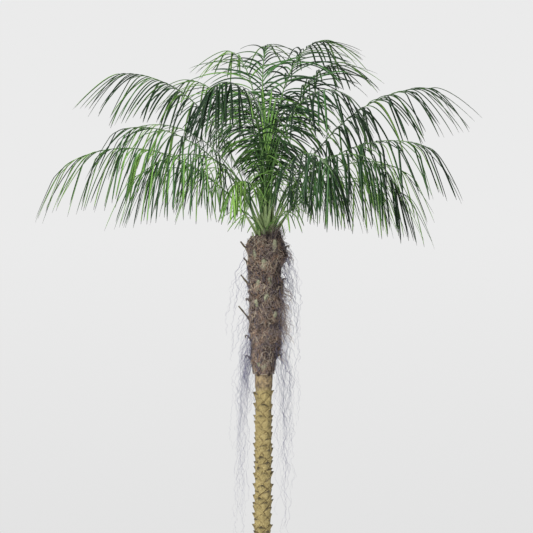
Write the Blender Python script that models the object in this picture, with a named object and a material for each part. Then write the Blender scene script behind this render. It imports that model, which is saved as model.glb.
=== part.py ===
"""A pygmy date palm: a slender stem, a sleeve of matted leaf-base fibre, and a crown of arching fronds.

Units are metres, +Z is up, and the origin is the middle of the flat cut under the stem, at ground level.
Run it with: blender --background --python part.py
"""

import math
import random
from collections import namedtuple

import bmesh
import bpy
from mathutils import Vector
from mathutils.bvhtree import BVHTree

# ---------------------------------------------------------------- driving dimensions
HEART_HEIGHT = 1.985  # ground to the place where the leaf stalks leave the stem
LEAN = 0.030  # how far the heart stands to +X of the foot
BOW = 0.003  # how far the stem bows out of that lean

FOOT_RADIUS = 0.074  # root flare at the ground
STEM_RADIUS = 0.041
FLARE_HEIGHT = 0.24
FIRST_SCALES = 0.13  # height of the lowest row of leaf-base scales
LAST_SCALES = 1.24
SCALES_AROUND = 4  # in one row; the next row sits in between
SCALE_ROW_PITCH = 0.030
SCALE_ROW_TWIST = math.radians(7)  # turns the columns of scales into spirals
SCALE_STANDS_OUT = 0.0105
SCALE_POINTS_UP = 0.0125
STEM_SIDES = 2 * SCALES_AROUND  # of the smooth bark, and of the sleeve round it
COLLAR_RADIUS = 0.0455  # smooth bark between the scales and the sleeve
CORE_RADIUS = 0.047  # the stem inside the sleeve

SLEEVE_BOTTOM = 1.275
SLEEVE_TOP = 1.972
SLEEVE_GAP = 0.0004  # between the sleeve's bore and the stem
SLEEVE_UNEVEN = 0.05  # share by which its outside wanders
STUB_COUNT = 18  # cut leaf stalks that stand out of the sleeve
STUB_LENGTH = 0.065
STUB_WIDTH = 0.012  # at its cut end
STUB_THICKNESS = 0.006

LEAFLET_LENGTH = 0.33
LEAFLET_WIDTH = 0.021
LEAFLET_THICKNESS = 0.0031
LEAFLET_FOOT = 0.009  # its length along the rib
LEAFLET_PAIRS = 16  # on each metre of a frond
WIDEST_AT = 0.42  # share of its length at which a leaflet is widest
OFF_RIB = (62, 13)  # degrees between a leaflet and its rib, by the stalk and at the tip
LIFT = (24, 2)  # degrees by which it first rises out of the frond's plane, at the same two places
DROOP = 2.2
STIFFER_TIP = 0.78  # share by which the last leaflets hang less than the first
SHOULDER = 0.16  # share of a leaflet in which it does most of its bending
SHOULDER_WEIGHT = 0.55  # how much of its hang comes there, and not evenly along it
UPRIGHT_STIFFNESS = 0.42  # share by which leaflets hang less where their rib stands upright
STALK_SHARE = 0.22  # share of a rib that carries no leaflets
RIB_WIDTH_AT_BASE = 0.0125
RIB_WIDTH_AT_TIP = 0.0042
RIB_DEPTH_SHARE = 0.80  # depth of a rib for its width
SPLIT_AT = 0.45  # a frond is cut in two where this share of its bend is behind it
SPLIT_GAP = 0.0004  # between the rising and the arching piece of a frond
SEAT_GAP = 0.00035  # between a stalk and the stem
CLEAR = 0.0006  # between a leaflet and all it isn't part of

SEED = 7

# The stem above its scales, as (height, radius). It ends in the growing tip between the stalks.
CORE_PROFILE = (
    (LAST_SCALES + 0.022, COLLAR_RADIUS),
    (SLEEVE_BOTTOM - 0.006, CORE_RADIUS),
    (HEART_HEIGHT - 0.030, CORE_RADIUS),
    (HEART_HEIGHT + 0.012, 0.0440),
    (HEART_HEIGHT + 0.046, 0.0300),
    (HEART_HEIGHT + 0.078, 0.0165),
    (HEART_HEIGHT + 0.115, 0.0040),
)
FOOT_PROFILE = ((0.055, 0.062), (0.0, FOOT_RADIUS))

# The sleeve's outside, as (share of its height, radius).
SLEEVE_PROFILE = (
    (0.00, 0.054),
    (0.07, 0.066),
    (0.20, 0.082),
    (0.36, 0.092),
    (0.52, 0.094),
    (0.66, 0.096),
    (0.80, 0.100),
    (0.90, 0.107),
    (0.96, 0.100),
    (1.00, 0.082),
)

# How long the leaflets are for the longest, as (share of the leafy rib, share of the length).
LENGTH_PROFILE = ((0.0, 0.55), (0.12, 0.80), (0.40, 1.00), (0.75, 0.99), (1.0, 0.93))

# One row is one frond: compass direction of its stalk, slope at its stalk, slope at its tip,
# length of its rib, how late it bends (1 is an even arc) and how far its tip swings sideways.
Frond = namedtuple("Frond", "azimuth rise tip length bend sway")
FRONDS = (
    Frond(182, 72, -7, 1.18, 2.1, -2),
    Frond(207, 61, -15, 1.03, 1.6, 6),
    Frond(189, 57, -32, 1.17, 1.35, 0),
    Frond(232, 67, -36, 1.03, 1.0, -9),
    Frond(240, 80, -56, 0.44, 1.4, 0),
    Frond(250, 88, -42, 1.12, 1.75, -10),
    Frond(110, 88, 10, 1.13, 2.3, 9),
    Frond(140, 79, 6, 1.06, 2.1, -3),
    Frond(98, 88, 21, 1.12, 2.3, -20),
    Frond(53, 88, 6, 1.22, 2.3, -2),
    Frond(41, 80, 8, 1.09, 2.4, 5),
    Frond(308, 87, -36, 1.03, 1.85, 9),
    Frond(355, 64, -4, 1.17, 1.9, 0),
    Frond(333, 62, -24, 1.06, 1.2, -5),
    Frond(320, 65, -56, 1.02, 1.3, -8),
    Frond(291, 67, -42, 1.00, 1.1, 3),
    Frond(74, 82, -14, 1.01, 2.0, 5),
    Frond(145, 58, -24, 0.98, 1.2, 0),
    Frond(153, 68, -14, 1.04, 1.5, -2),
    Frond(118, 60, -26, 0.94, 1.3, 0),
    Frond(112, 76, -4, 1.02, 2.0, 3),
    Frond(94, 57, -28, 1.00, 1.2, 0),
    Frond(64, 61, -24, 1.00, 1.3, 0),
    Frond(30, 60, -28, 1.00, 1.3, 0),
    Frond(14, 55, -36, 0.88, 1.2, 0),
    Frond(46, 53, -28, 0.98, 1.2, 0),
)
WHORL_HEIGHTS = (0.000, 0.034, 0.066)  # rings of stalks over the heart; low fronds stand in the lowest


# ---------------------------------------------------------------- helpers
def clear_scene():
    for old in list(bpy.data.objects):
        bpy.data.objects.remove(old, do_unlink=True)


def plain_material(name, colour, roughness):
    material = bpy.data.materials.new(name)
    material.use_nodes = True
    shader = material.node_tree.nodes["Principled BSDF"]
    shader.inputs["Base Color"].default_value = (*colour, 1.0)
    shader.inputs["Roughness"].default_value = roughness
    material.diffuse_color = (*colour, 1.0)
    return material


def finish(name, bm, material):
    """Turns a closed bmesh into a named object with its faces outwards."""
    bmesh.ops.recalc_face_normals(bm, faces=bm.faces)
    mesh = bpy.data.meshes.new(name)
    bm.to_mesh(mesh)
    bm.free()
    mesh.materials.append(material)
    made = bpy.data.objects.new(name, mesh)
    bpy.context.collection.objects.link(made)
    return made


def new_ring(bm, points):
    return [bm.verts.new(point) for point in points]


def skin_between(bm, low, high):
    """Quads from one closed ring of corners to another of as many."""
    for j in range(len(low)):
        k = (j + 1) % len(low)
        bm.faces.new((low[j], low[k], high[k], high[j]))


# ---------------------------------------------------------------- stem
def stem_axis(height):
    """The stem's centre at a height: a slow lean with a slight bow."""
    share = height / HEART_HEIGHT
    return Vector((LEAN * share + BOW * math.sin(2 * math.pi * share), 0.0, height))


def ring_points(height, radius, sides, turn):
    centre = stem_axis(height)
    angles = [turn + j * 2 * math.pi / sides for j in range(sides)]
    return [centre + radius * Vector((math.cos(a), math.sin(a), 0.0)) for a in angles]


def scaled_radius(height):
    """Radius between the scales: wide at the foot, even above the flare."""
    flare = max(0.0, 1.0 - height / FLARE_HEIGHT)
    return STEM_RADIUS + (FOOT_RADIUS - STEM_RADIUS) * flare**2


SCALE_ROWS = 1 + round((LAST_SCALES - FIRST_SCALES) / SCALE_ROW_PITCH)


def row_turn(row):
    return row * (math.pi / SCALES_AROUND + SCALE_ROW_TWIST)


def close_stem_end(bm, row, turn, profile):
    """Carries a row of scales on through smooth rings with twice its corners, and caps the last of them."""
    rings = [new_ring(bm, ring_points(z, r, STEM_SIDES, turn)) for z, r in profile]
    first = rings[0]
    for j, corner in enumerate(row):
        bm.faces.new((corner, first[2 * j - 1], first[2 * j]))
        bm.faces.new((corner, first[2 * j], first[2 * j + 1]))
        bm.faces.new((corner, first[2 * j + 1], row[(j + 1) % len(row)]))
    for low, high in zip(rings, rings[1:]):
        skin_between(bm, low, high)
    bm.faces.new(rings[-1])


def build_stem(material):
    """The whole stem: flared foot, spirals of diamond scales, smooth core and growing tip."""
    bm = bmesh.new()
    rows = []
    for n in range(SCALE_ROWS):
        height = FIRST_SCALES + n * SCALE_ROW_PITCH
        rows.append(new_ring(bm, ring_points(height, scaled_radius(height), SCALES_AROUND, row_turn(n))))

    # A scale spans three rows. Corner j of a row stands between corners j and j + 1 of the row under it.
    scales = [
        bm.faces.new((low[j], middle[j], high[j - 1], middle[j - 1]))
        for low, middle, high in zip(rows, rows[1:], rows[2:])
        for j in range(SCALES_AROUND)
    ]
    for j in range(SCALES_AROUND):
        bm.faces.new((rows[0][j - 1], rows[0][j], rows[1][j - 1]))
        bm.faces.new((rows[-1][j - 1], rows[-1][j], rows[-2][j]))
    for point in bmesh.ops.poke(bm, faces=scales)["verts"]:
        centre = stem_axis(point.co.z)
        outward = (point.co - centre).normalized()
        reach = scaled_radius(point.co.z) + SCALE_STANDS_OUT
        point.co = centre + outward * reach + Vector((0.0, 0.0, SCALE_POINTS_UP))

    close_stem_end(bm, rows[0], row_turn(0), FOOT_PROFILE)
    close_stem_end(bm, rows[-1], row_turn(SCALE_ROWS - 1), CORE_PROFILE)
    return finish("trunk", bm, material)


# ---------------------------------------------------------------- fibre sleeve
def add_stub(bm, face, dice):
    """One cut stalk: a flat spike that leaves the middle of one of the sleeve's faces, up and out."""
    centre = face.calc_center_median()
    edge = min(e.calc_length() for e in face.edges)
    bmesh.ops.inset_individual(bm, faces=[face], thickness=0.3 * edge)
    outward = (centre - stem_axis(centre.z)).normalized()
    upward = Vector((0.0, 0.0, 1.0))
    along = (upward + outward * dice.uniform(0.45, 0.9)).normalized()
    across = upward.cross(outward)
    inward = across.cross(along)
    if inward.dot(outward) > 0:
        inward.negate()
    tip = centre + along * STUB_LENGTH * dice.uniform(0.7, 1.2)
    end = bmesh.ops.extrude_discrete_faces(bm, faces=[face])["faces"][0]
    for vert in end.verts:
        offset = vert.co - centre
        sideways = math.copysign(STUB_WIDTH / 2, offset.dot(across))
        deep = math.copysign(STUB_THICKNESS / 2, offset.z)
        vert.co = tip + across * sideways + inward * deep


def build_sleeve(material):
    """Matted leaf-base fibre round the upper stem, with a bore for it, and cut stalks that stand out."""
    dice = random.Random(SEED)
    bm = bmesh.new()
    turn = row_turn(SCALE_ROWS - 1)
    outside = []
    for share, radius in SLEEVE_PROFILE:
        height = SLEEVE_BOTTOM + share * (SLEEVE_TOP - SLEEVE_BOTTOM)
        centre = stem_axis(height)
        even = ring_points(height, radius, STEM_SIDES, turn)
        uneven = [centre + (p - centre) * dice.uniform(1 - SLEEVE_UNEVEN, 1 + SLEEVE_UNEVEN) for p in even]
        outside.append(new_ring(bm, uneven))
    for low, high in zip(outside, outside[1:]):
        skin_between(bm, low, high)
    walls = list(bm.faces)
    bore_radius = CORE_RADIUS + SLEEVE_GAP / math.cos(math.pi / STEM_SIDES)
    bore = [new_ring(bm, ring_points(z, bore_radius, STEM_SIDES, turn)) for z in (SLEEVE_BOTTOM, SLEEVE_TOP)]
    skin_between(bm, outside[-1], bore[1])
    skin_between(bm, bore[1], bore[0])
    skin_between(bm, bore[0], outside[0])
    middle_walls = walls[STEM_SIDES:-STEM_SIDES]
    for face in dice.sample(middle_walls, STUB_COUNT):
        add_stub(bm, face, dice)
    return finish("fibre_sleeve", bm, material)


# ---------------------------------------------------------------- ribs
RIB_STEPS = 120


def rib_path(frond, seat):
    """Frames along a rib, from its stalk's foot to its tip: (point, along, side, up)."""
    frames = []
    point = seat.copy()
    for n in range(RIB_STEPS + 1):
        share = n / RIB_STEPS
        slope = math.radians(frond.rise + (frond.tip - frond.rise) * share**frond.bend)
        heading = math.radians(frond.azimuth + frond.sway * share**2)
        level = Vector((math.cos(heading), math.sin(heading), 0.0))
        along = level * math.cos(slope) + Vector((0.0, 0.0, math.sin(slope)))
        side = Vector((-level.y, level.x, 0.0))
        frames.append((point.copy(), along, side, along.cross(side)))
        point += along * (frond.length / RIB_STEPS)
    return frames


def frame_at(path, share):
    """The frame at any share of the rib's length."""
    place = share * RIB_STEPS
    n = min(int(place), RIB_STEPS - 1)
    point, along, side, up = (low.lerp(high, place - n) for low, high in zip(path[n], path[n + 1]))
    return point, along.normalized(), side.normalized(), up.normalized()


def rib_section(path, share, grown=0.0):
    """The three corners of the rib: its keel below, then the left and the right edge of its flat top.

    A rib that is grown to test others against is four times that wider, so that its walls move out by it.
    """
    point, _, side, up = frame_at(path, share)
    width = RIB_WIDTH_AT_BASE + (RIB_WIDTH_AT_TIP - RIB_WIDTH_AT_BASE) * share**0.7 + 4 * grown
    half = side * (width / 2)
    deep = up * (width * RIB_DEPTH_SHARE / 2)
    return [point - deep, point + half + deep, point - half + deep]


def rib_shape(path, grown, last=1.0, spans=24):
    """A rib, or its first stretch, as corners and faces to test others against."""
    corners = [corner for n in range(spans + 1) for corner in rib_section(path, last * n / spans, grown)]
    faces = []
    for n in range(spans):
        for j in range(3):
            k = (j + 1) % 3
            faces.append((3 * n + j, 3 * n + k, 3 * n + 3 + k, 3 * n + 3 + j))
    return corners, [(0, 1, 2), *faces]


# ---------------------------------------------------------------- leaflets
LEAFLET_STEPS = 12

# A leaflet's middle line, the way its front edge faces at each step of that, and the side of the rib
# it stands on: hand is 1 on the left and -1 on the right.
Leaflet = namedtuple("Leaflet", "points fronts hand")

# Its corners are its foot's 0 to 3, its widest section's 4 to 7, and its tip. Both broad faces are cut
# along the same diagonal, so that a leaflet that twists keeps its thickness.
LEAFLET_FACES = (
    (0, 1, 5, 4),
    (1, 2, 6),
    (1, 6, 5),
    (2, 3, 7, 6),
    (0, 4, 7),
    (0, 7, 3),
    (4, 5, 8),
    (5, 6, 8),
    (6, 7, 8),
    (7, 4, 8),
)

# What a leaflet tries until it touches nothing: share of its full length, turns in degrees, and share of
# its full droop.
Trial = namedtuple("Trial", "length turn lift droop")
TRIALS = tuple(
    Trial(length, turn, lift, droop)
    for length in (1.0, 0.8, 0.62)
    for turn, lift in ((0, 0), (-9, 4), (8, -6), (0, 14), (-16, 10), (14, 8))
    for droop in (1.0, 0.7, 1.35)
)


def leaflet_length(frond, t):
    """Length of the leaflets at share t of the leafy rib: short fronds carry short leaflets."""
    size = min(1.0, 0.35 + 0.65 * frond.length)
    for (low, short), (high, long) in zip(LENGTH_PROFILE, LENGTH_PROFILE[1:]):
        if t <= high:
            return LEAFLET_LENGTH * size * (short + (long - short) * (t - low) / (high - low))


def leaf_share(t):
    """Share of the whole rib at share t of its leafy stretch."""
    return STALK_SHARE + (1 - STALK_SHARE) * t


def between(ends, t):
    return ends[0] + (ends[1] - ends[0]) * t


def hang_of(frond):
    """How much a frond's leaflets hang: those of low, level fronds are limp and of steep ones stiff."""
    mean_slope = frond.rise + (frond.tip - frond.rise) / (frond.bend + 1)
    return 1.0 + (67 - mean_slope) / 70


def plan_leaflet(frond, path, t, hand, trial):
    """A leaflet that leaves the rib forwards and slightly up, and then hangs over."""
    point, along, side, up = frame_at(path, leaf_share(t))
    forward = math.radians(between(OFF_RIB, t) + trial.turn)
    lift = math.radians(between(LIFT, t) + trial.lift)
    out = side * hand
    start = along * math.cos(forward) + (out * math.cos(lift) + up * math.sin(lift)) * math.sin(forward)
    limpness = 1 - UPRIGHT_STIFFNESS * max(0.0, along.z) ** 1.3
    hang = trial.droop * DROOP * hang_of(frond) * limpness * (1 - STIFFER_TIP * t**2)
    step = leaflet_length(frond, t) * trial.length / LEAFLET_STEPS
    points = [point + out * (RIB_WIDTH_AT_TIP / 2)]
    fronts = []
    way, front = start, start.cross(up).normalized() * hand
    for n in range(LEAFLET_STEPS):
        share = (n + 0.5) / LEAFLET_STEPS
        early = SHOULDER_WEIGHT * limpness
        weight = hang * ((1 - early) * share + early * (1 - math.exp(-share / SHOULDER)))
        bent = (start + Vector((0.0, 0.0, -weight))).normalized()
        front = way.rotation_difference(bent) @ front
        way = bent
        points.append(points[-1] + way * step)
        fronts.append(front)
    return Leaflet(points, fronts, hand)


def leaflet_section(leaflet, share, width, thickness):
    """Four corners across a leaflet: back edge under and over, front edge over and under."""
    place = share * LEAFLET_STEPS
    n = int(place)
    start, end = leaflet.points[n], leaflet.points[n + 1]
    middle = start.lerp(end, place - n)
    half = leaflet.fronts[n] * (width / 2)
    over = leaflet.fronts[n].cross((end - start).normalized()) * (leaflet.hand * thickness / 2)
    return [middle - half - over, middle - half + over, middle + half + over, middle + half - over]


def leaflet_foot(frond, path, t, hand, grown=0.0):
    """Where a leaflet stands on the rib's side, in the order of leaflet_section."""
    half = LEAFLET_FOOT / 2 / frond.length
    edge = 1 if hand > 0 else 2
    back, front = (rib_section(path, leaf_share(t) + way * half, grown) for way in (-1, 1))
    return [back[0], back[edge], front[edge], front[0]]


def leaflet_shape(leaflet, foot, grown):
    """A leaflet from a foot to its tip, as corners and faces to test others against."""
    middle = leaflet_section(leaflet, WIDEST_AT, LEAFLET_WIDTH + 2 * grown, LEAFLET_THICKNESS + 2 * grown)
    beyond = (leaflet.points[-1] - leaflet.points[-2]).normalized() * grown
    return [*foot, *middle, leaflet.points[-1] + beyond], LEAFLET_FACES


# ---------------------------------------------------------------- planning the crown
def tree_of(shapes):
    """One search tree over many shapes."""
    corners, faces = [], []
    for shape_corners, shape_faces in shapes:
        faces.extend([i + len(corners) for i in face] for face in shape_faces)
        corners.extend(shape_corners)
    return BVHTree.FromPolygons(corners, faces)


def shape_of(made):
    return [v.co.copy() for v in made.data.vertices], [list(p.vertices) for p in made.data.polygons]


def touches(tree, shape):
    return bool(tree.overlap(tree_of([shape])))


def seat_stalk(frond, angle, height, stem_tree):
    """The rib's path from the innermost place at this height where its stalk stands clear of the stem."""
    outward = Vector((math.cos(angle), math.sin(angle), 0.0))
    reach = 2 * CORE_RADIUS
    clear = None
    while reach > 0:
        path = rib_path(frond, stem_axis(height) + outward * reach)
        if touches(stem_tree, rib_shape(path, SEAT_GAP, last=0.15, spans=3)):
            break
        clear = path
        reach -= SEAT_GAP / 2
    return clear


def seat_crown(stem_tree):
    """Every rib's path. Steep young fronds stand in the upper whorls, and each whorl is evenly spread."""
    by_rise = sorted(range(len(FRONDS)), key=lambda n: FRONDS[n].rise)
    share = math.ceil(len(FRONDS) / len(WHORL_HEIGHTS))
    paths = {}
    for whorl, height in enumerate(WHORL_HEIGHTS):
        members = sorted(by_rise[whorl * share : (whorl + 1) * share], key=lambda n: FRONDS[n].azimuth)
        step = 360 / len(members)
        first = sum(FRONDS[n].azimuth - i * step for i, n in enumerate(members)) / len(members)
        for i, n in enumerate(members):
            angle = math.radians(first + i * step)
            paths[n] = seat_stalk(FRONDS[n], angle, HEART_HEIGHT + height, stem_tree)
    return paths


def leaflet_places(frond):
    """Shares of the leafy stretch of a frond's rib at which a pair of leaflets stands."""
    pairs = round(LEAFLET_PAIRS * frond.length)
    return [(n + 0.5) / pairs for n in range(pairs)]


def plan_crown(paths, solids):
    """Each frond's leaflets by (place, hand), turned or shortened until they touch nothing, or left out."""
    ribs = {n: rib_shape(path, CLEAR) for n, path in paths.items()}
    placed = list(solids)
    crown = {}
    for n, frond in enumerate(FRONDS):
        path = paths[n]
        others = tree_of([rib for m, rib in ribs.items() if m != n] + placed)
        own = [rib_shape(path, 0.0)]
        crown[n] = {}
        for place in leaflet_places(frond):
            for hand in (1, -1):
                leaflet = fitting_leaflet(frond, path, place, hand, others, tree_of(own))
                if leaflet:
                    crown[n][place, hand] = leaflet
                    own.append(leaflet_shape(leaflet, leaflet_foot(frond, path, place, hand), 0.0))
        placed.extend(own[1:])
    return crown


def fitting_leaflet(frond, path, place, hand, others, own):
    """The first trial that clears the other solids, and its own frond from a little way off the rib."""
    foot = leaflet_foot(frond, path, place, hand, CLEAR)
    for trial in TRIALS:
        leaflet = plan_leaflet(frond, path, place, hand, trial)
        if touches(others, leaflet_shape(leaflet, foot, CLEAR)):
            continue
        off_rib = leaflet_section(leaflet, 0.10, LEAFLET_WIDTH / 2, LEAFLET_THICKNESS + 2 * CLEAR)
        if not touches(own, leaflet_shape(leaflet, off_rib, CLEAR)):
            return leaflet
    return None


# ---------------------------------------------------------------- fronds
# The rib's walls, as two of its corners and the hand whose leaflets stand on it.
RIB_WALLS = ((0, 1, 1), (0, 2, -1), (1, 2, 0))


def split_share(frond):
    """Where a frond is cut in two: at its bend, midway between two leaflet pairs."""
    bend = SPLIT_AT ** (1 / frond.bend)
    places = leaflet_places(frond)
    middles = [leaf_share((a + b) / 2) for a, b in zip(places, places[1:])]
    return min(middles, key=lambda middle: abs(middle - bend))


def rib_stops(frond, begin, end):
    """Where a stretch of rib has a section, with the leaflet place whose feet reach from it to the next."""
    half = LEAFLET_FOOT / 2 / frond.length
    stops = [(begin, None)]
    if begin == 0.0:
        stops += [(STALK_SHARE / 3, None), (STALK_SHARE * 2 / 3, None)]
    for place in leaflet_places(frond):
        if begin < leaf_share(place) < end:
            stops += [(leaf_share(place) - half, place), (leaf_share(place) + half, None)]
    return [*stops, (end, None)]


def grow_leaflet(bm, foot, leaflet):
    middle = new_ring(bm, leaflet_section(leaflet, WIDEST_AT, LEAFLET_WIDTH, LEAFLET_THICKNESS))
    corners = [*foot, *middle, bm.verts.new(leaflet.points[-1])]
    for face in LEAFLET_FACES:
        bm.faces.new([corners[i] for i in face])


def build_frond_piece(name, frond, path, leaflets, begin, end, material):
    """One stretch of a frond: its rib, and the leaflets that stand on it."""
    bm = bmesh.new()
    stops = rib_stops(frond, begin, end)
    rings = [new_ring(bm, rib_section(path, share)) for share, _ in stops]
    bm.faces.new(rings[0])
    bm.faces.new(rings[-1])
    for (_, place), back, front in zip(stops, rings, rings[1:]):
        for low, high, hand in RIB_WALLS:
            foot = (back[low], back[high], front[high], front[low])
            if (place, hand) in leaflets:
                grow_leaflet(bm, foot, leaflets[place, hand])
            else:
                bm.faces.new(foot)
    return finish(name, bm, material)


def build_fronds(solids, material):
    """Two pieces for each frond, the rising one and the arching one, cut apart at the bend."""
    shapes = [shape_of(made) for made in solids]
    paths = seat_crown(tree_of(shapes[:1]))
    crown = plan_crown(paths, shapes)
    for n, frond in enumerate(FRONDS):
        cut = split_share(frond)
        half_gap = SPLIT_GAP / 2 / frond.length
        stretches = (("rise", 0.0, cut - half_gap), ("arch", cut + half_gap, 1.0))
        for word, begin, end in stretches:
            build_frond_piece(f"frond_{n + 1:02d}_{word}", frond, paths[n], crown[n], begin, end, material)
    wanted = 2 * sum(len(leaflet_places(frond)) for frond in FRONDS)
    print(f"{len(FRONDS)} fronds with {sum(map(len, crown.values()))} leaflets of {wanted} tried")


def main():
    clear_scene()
    trunk = build_stem(plain_material("stem bark", (0.27, 0.22, 0.15), 0.9))
    sleeve = build_sleeve(plain_material("leaf-base fibre", (0.13, 0.10, 0.075), 0.95))
    build_fronds((trunk, sleeve), plain_material("palm frond", (0.06, 0.13, 0.045), 0.5))


main()
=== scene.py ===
# %% [markdown]
# # A pygmy date palm in a pale studio
# A pygmy date palm is a slender stem under a sleeve of matted leaf-base fibre, with a crown of arching
# fronds. Its solids come in as a fixed frame, which says where every stalk stands. This lesson grows the
# fine things on that frame: bark relief, fibre, folded leaflets and the light that shows them.

import math
from collections import namedtuple

import bpy
import numpy as np
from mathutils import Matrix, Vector


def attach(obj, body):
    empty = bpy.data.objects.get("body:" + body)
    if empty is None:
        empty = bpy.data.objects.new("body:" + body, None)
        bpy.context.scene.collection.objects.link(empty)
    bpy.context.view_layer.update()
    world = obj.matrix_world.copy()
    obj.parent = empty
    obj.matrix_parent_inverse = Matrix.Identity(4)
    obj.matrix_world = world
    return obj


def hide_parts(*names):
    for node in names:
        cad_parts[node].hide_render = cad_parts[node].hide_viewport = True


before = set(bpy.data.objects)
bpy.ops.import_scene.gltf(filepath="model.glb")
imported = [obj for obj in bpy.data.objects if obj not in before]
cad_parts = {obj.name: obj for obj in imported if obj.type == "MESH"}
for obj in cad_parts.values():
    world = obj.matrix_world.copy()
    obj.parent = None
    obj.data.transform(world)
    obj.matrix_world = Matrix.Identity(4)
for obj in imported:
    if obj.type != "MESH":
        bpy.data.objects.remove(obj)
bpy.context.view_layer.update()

# %% [markdown]
# ## The palm's own measures
# A palm grows by rule: the stem leans a little, old leaf bases leave scars in spirals, and each frond
# is an even arc from its stalk to its tip. Sizes are in metres and angles in degrees. The fine pieces
# follow the same rules as the solids, so that each lies on the solid it stands for.

# %% The stem and the sleeve
HEART_HEIGHT = 1.985  # ground to the place where the leaf stalks leave the stem
LEAN = 0.030
BOW = 0.003
FOOT_RADIUS = 0.074
STEM_RADIUS = 0.041
FLARE_HEIGHT = 0.24
FIRST_SCALES = 0.13  # height of the lowest row of leaf scars
SCALE_PITCH = 0.030  # from one row of scars to the next
SCALE_COLUMNS = 8  # staggered: every other row uses every other column
SCALE_TWIST = 7.0  # degrees by which each row turns further than its columns
SLEEVE_BOTTOM = 1.275
SLEEVE_TOP = 1.972
CORE_HEIGHTS = (1.262, 1.269, 1.955, 1.997, 2.031, 2.063, 2.100)
CORE_RADII = (0.0455, 0.047, 0.047, 0.0440, 0.0300, 0.0165, 0.0040)


def stem_axis(height):
    """The stem's centre at each height, as points."""
    height = np.asarray(height, float)
    share = height / HEART_HEIGHT
    return np.stack([LEAN * share + BOW * np.sin(2 * np.pi * share), 0 * height, height], -1)


def outward(angle):
    """Level directions away from the stem, for angles in radians."""
    return np.stack([np.cos(angle), np.sin(angle), 0 * angle], -1)


print("the heart stands at", stem_axis(HEART_HEIGHT).round(3))

# %% The crown
# One row is one frond: compass direction of its stalk, slope at its stalk, slope at its tip, length of
# its rib, how late it bends (1 is an even arc), how far its tip swings sideways, its tone, from 0 for
# the darkest greens to 3 and over for the lightest, and how thickly leaflets stand on it: fewest in the
# shade. A last number is a further share of its stalk that is bare.
Frond = namedtuple("Frond", "azimuth rise tip length bend sway tone fullness bare", defaults=(0.0,))
FROND_ROWS = (
    (182, 72, -7, 1.18, 2.1, -2, 0.4, 0.98, 0.18), (207, 61, -15, 1.03, 1.6, 6, 0.6, 0.86, 0.13),
    (189, 57, -32, 1.17, 1.35, 0, 1.4, 1.04, 0.03), (232, 67, -36, 1.03, 1.0, -9, 1.2, 0.76, 0.15),
    (240, 80, -56, 0.44, 1.4, 0, 4.2, 1.25, 0.12), (250, 88, -42, 1.12, 1.75, -10, 0.1, 1.12, 0.06),
    (110, 88, 10, 1.13, 2.3, 9, 1.6, 0.84, 0.05), (140, 79, 6, 1.06, 2.1, -3, 1.2, 0.86, 0.16),
    (98, 88, 21, 1.12, 2.3, -20, 1.1, 1, 0.04), (53, 88, 6, 1.22, 2.3, -2, 0.6, 1.12),
    (41, 80, 8, 1.09, 2.4, 5, 0.5, 1.18), (308, 87, -36, 1.03, 1.85, 9, 0.3, 1.02),
    (355, 64, -4, 1.17, 1.9, 0, 0.3, 1.25), (333, 62, -24, 1.06, 1.2, -5, 1.0, 1.03),
    (320, 65, -56, 1.02, 1.3, -8, 0.4, 0.94), (291, 67, -42, 1.00, 1.1, 3, 0.5, 0.86),
    (74, 82, -14, 1.01, 2.0, 5, 1.6, 0.75), (145, 58, -24, 0.98, 1.2, 0, 1.4, 0.42),
    (153, 68, -14, 1.04, 1.5, -2, 1.5, 0.55, 0.14), (118, 60, -26, 0.94, 1.3, 0, 2.2, 0.28, 0.16),
    (112, 76, -4, 1.02, 2.0, 3, 1.8, 0.5), (94, 57, -28, 1.00, 1.2, 0, 2.2, 0.28, 0.08),
    (64, 61, -24, 1.00, 1.3, 0, 1.0, 0.42), (30, 60, -28, 1.00, 1.3, 0, 1.8, 0.68),
    (14, 55, -36, 0.88, 1.2, 0, 1.4, 0.6), (46, 53, -28, 0.98, 1.2, 0, 2.2, 0.55),
)
FRONDS = [Frond(*row) for row in FROND_ROWS]
WHORL_HEIGHTS = (0.000, 0.034, 0.066)  # rings of stalks over the heart; low fronds stand in the lowest
RIB_WIDTH = (0.0125, 0.0042)  # at its base and at its tip
RIB_DEPTH_SHARE = 0.80
lengths = [frond.length for frond in FRONDS]
print(len(FRONDS), "fronds, with ribs of", min(lengths), "to", max(lengths), "m")

# %% [markdown]
# ## Helpers
# Many small things of one kind are quickest as arrays: a leaflet, a fibre and a stub are all a row of
# rings with a skin over them. One function skins any number of such tubes at once, as one mesh. That
# keeps the scene light, because Blender handles one object of a hundred thousand faces far better than
# a thousand small ones.


# %% Pieces made of tubes
def add_object(name, data):
    """A new object in the scene, from its mesh, lamp or camera."""
    made = bpy.data.objects.new(name, data)
    bpy.context.scene.collection.objects.link(made)
    return made


def make_piece(name, rings, finishes, finish_of_wall=0, finish_of_end=0):
    """One object of the palm: tubes over rings (tubes, rings, sides, 3), its faces' finishes by number."""
    tubes, steps, sides = rings.shape[:3]
    corner = np.arange(tubes * steps * sides).reshape(tubes, steps, sides)
    after = np.roll(corner, -1, axis=2)
    walls = np.stack([corner[:, :-1], after[:, :-1], after[:, 1:], corner[:, 1:]], -1).reshape(-1, 4)
    ends = np.concatenate([corner[:, 0, ::-1], corner[:, -1]])
    mesh = bpy.data.meshes.new(name)
    mesh.from_pydata(rings.reshape(-1, 3), [], [*walls.tolist(), *ends.tolist()])
    for finish in finishes:
        mesh.materials.append(finish)
    number = np.zeros(len(walls) + len(ends), np.int32)
    number[: len(walls)] = finish_of_wall
    number[len(walls) :] = finish_of_end
    mesh.polygons.foreach_set("material_index", number)
    mesh.polygons.foreach_set("use_smooth", np.full(len(number), True))
    mesh.update()
    piece = add_object(name, mesh)
    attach(piece, "root")
    print(f"{name}: {2 * len(walls) + (sides - 2) * len(ends)} triangles")
    return piece


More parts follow.
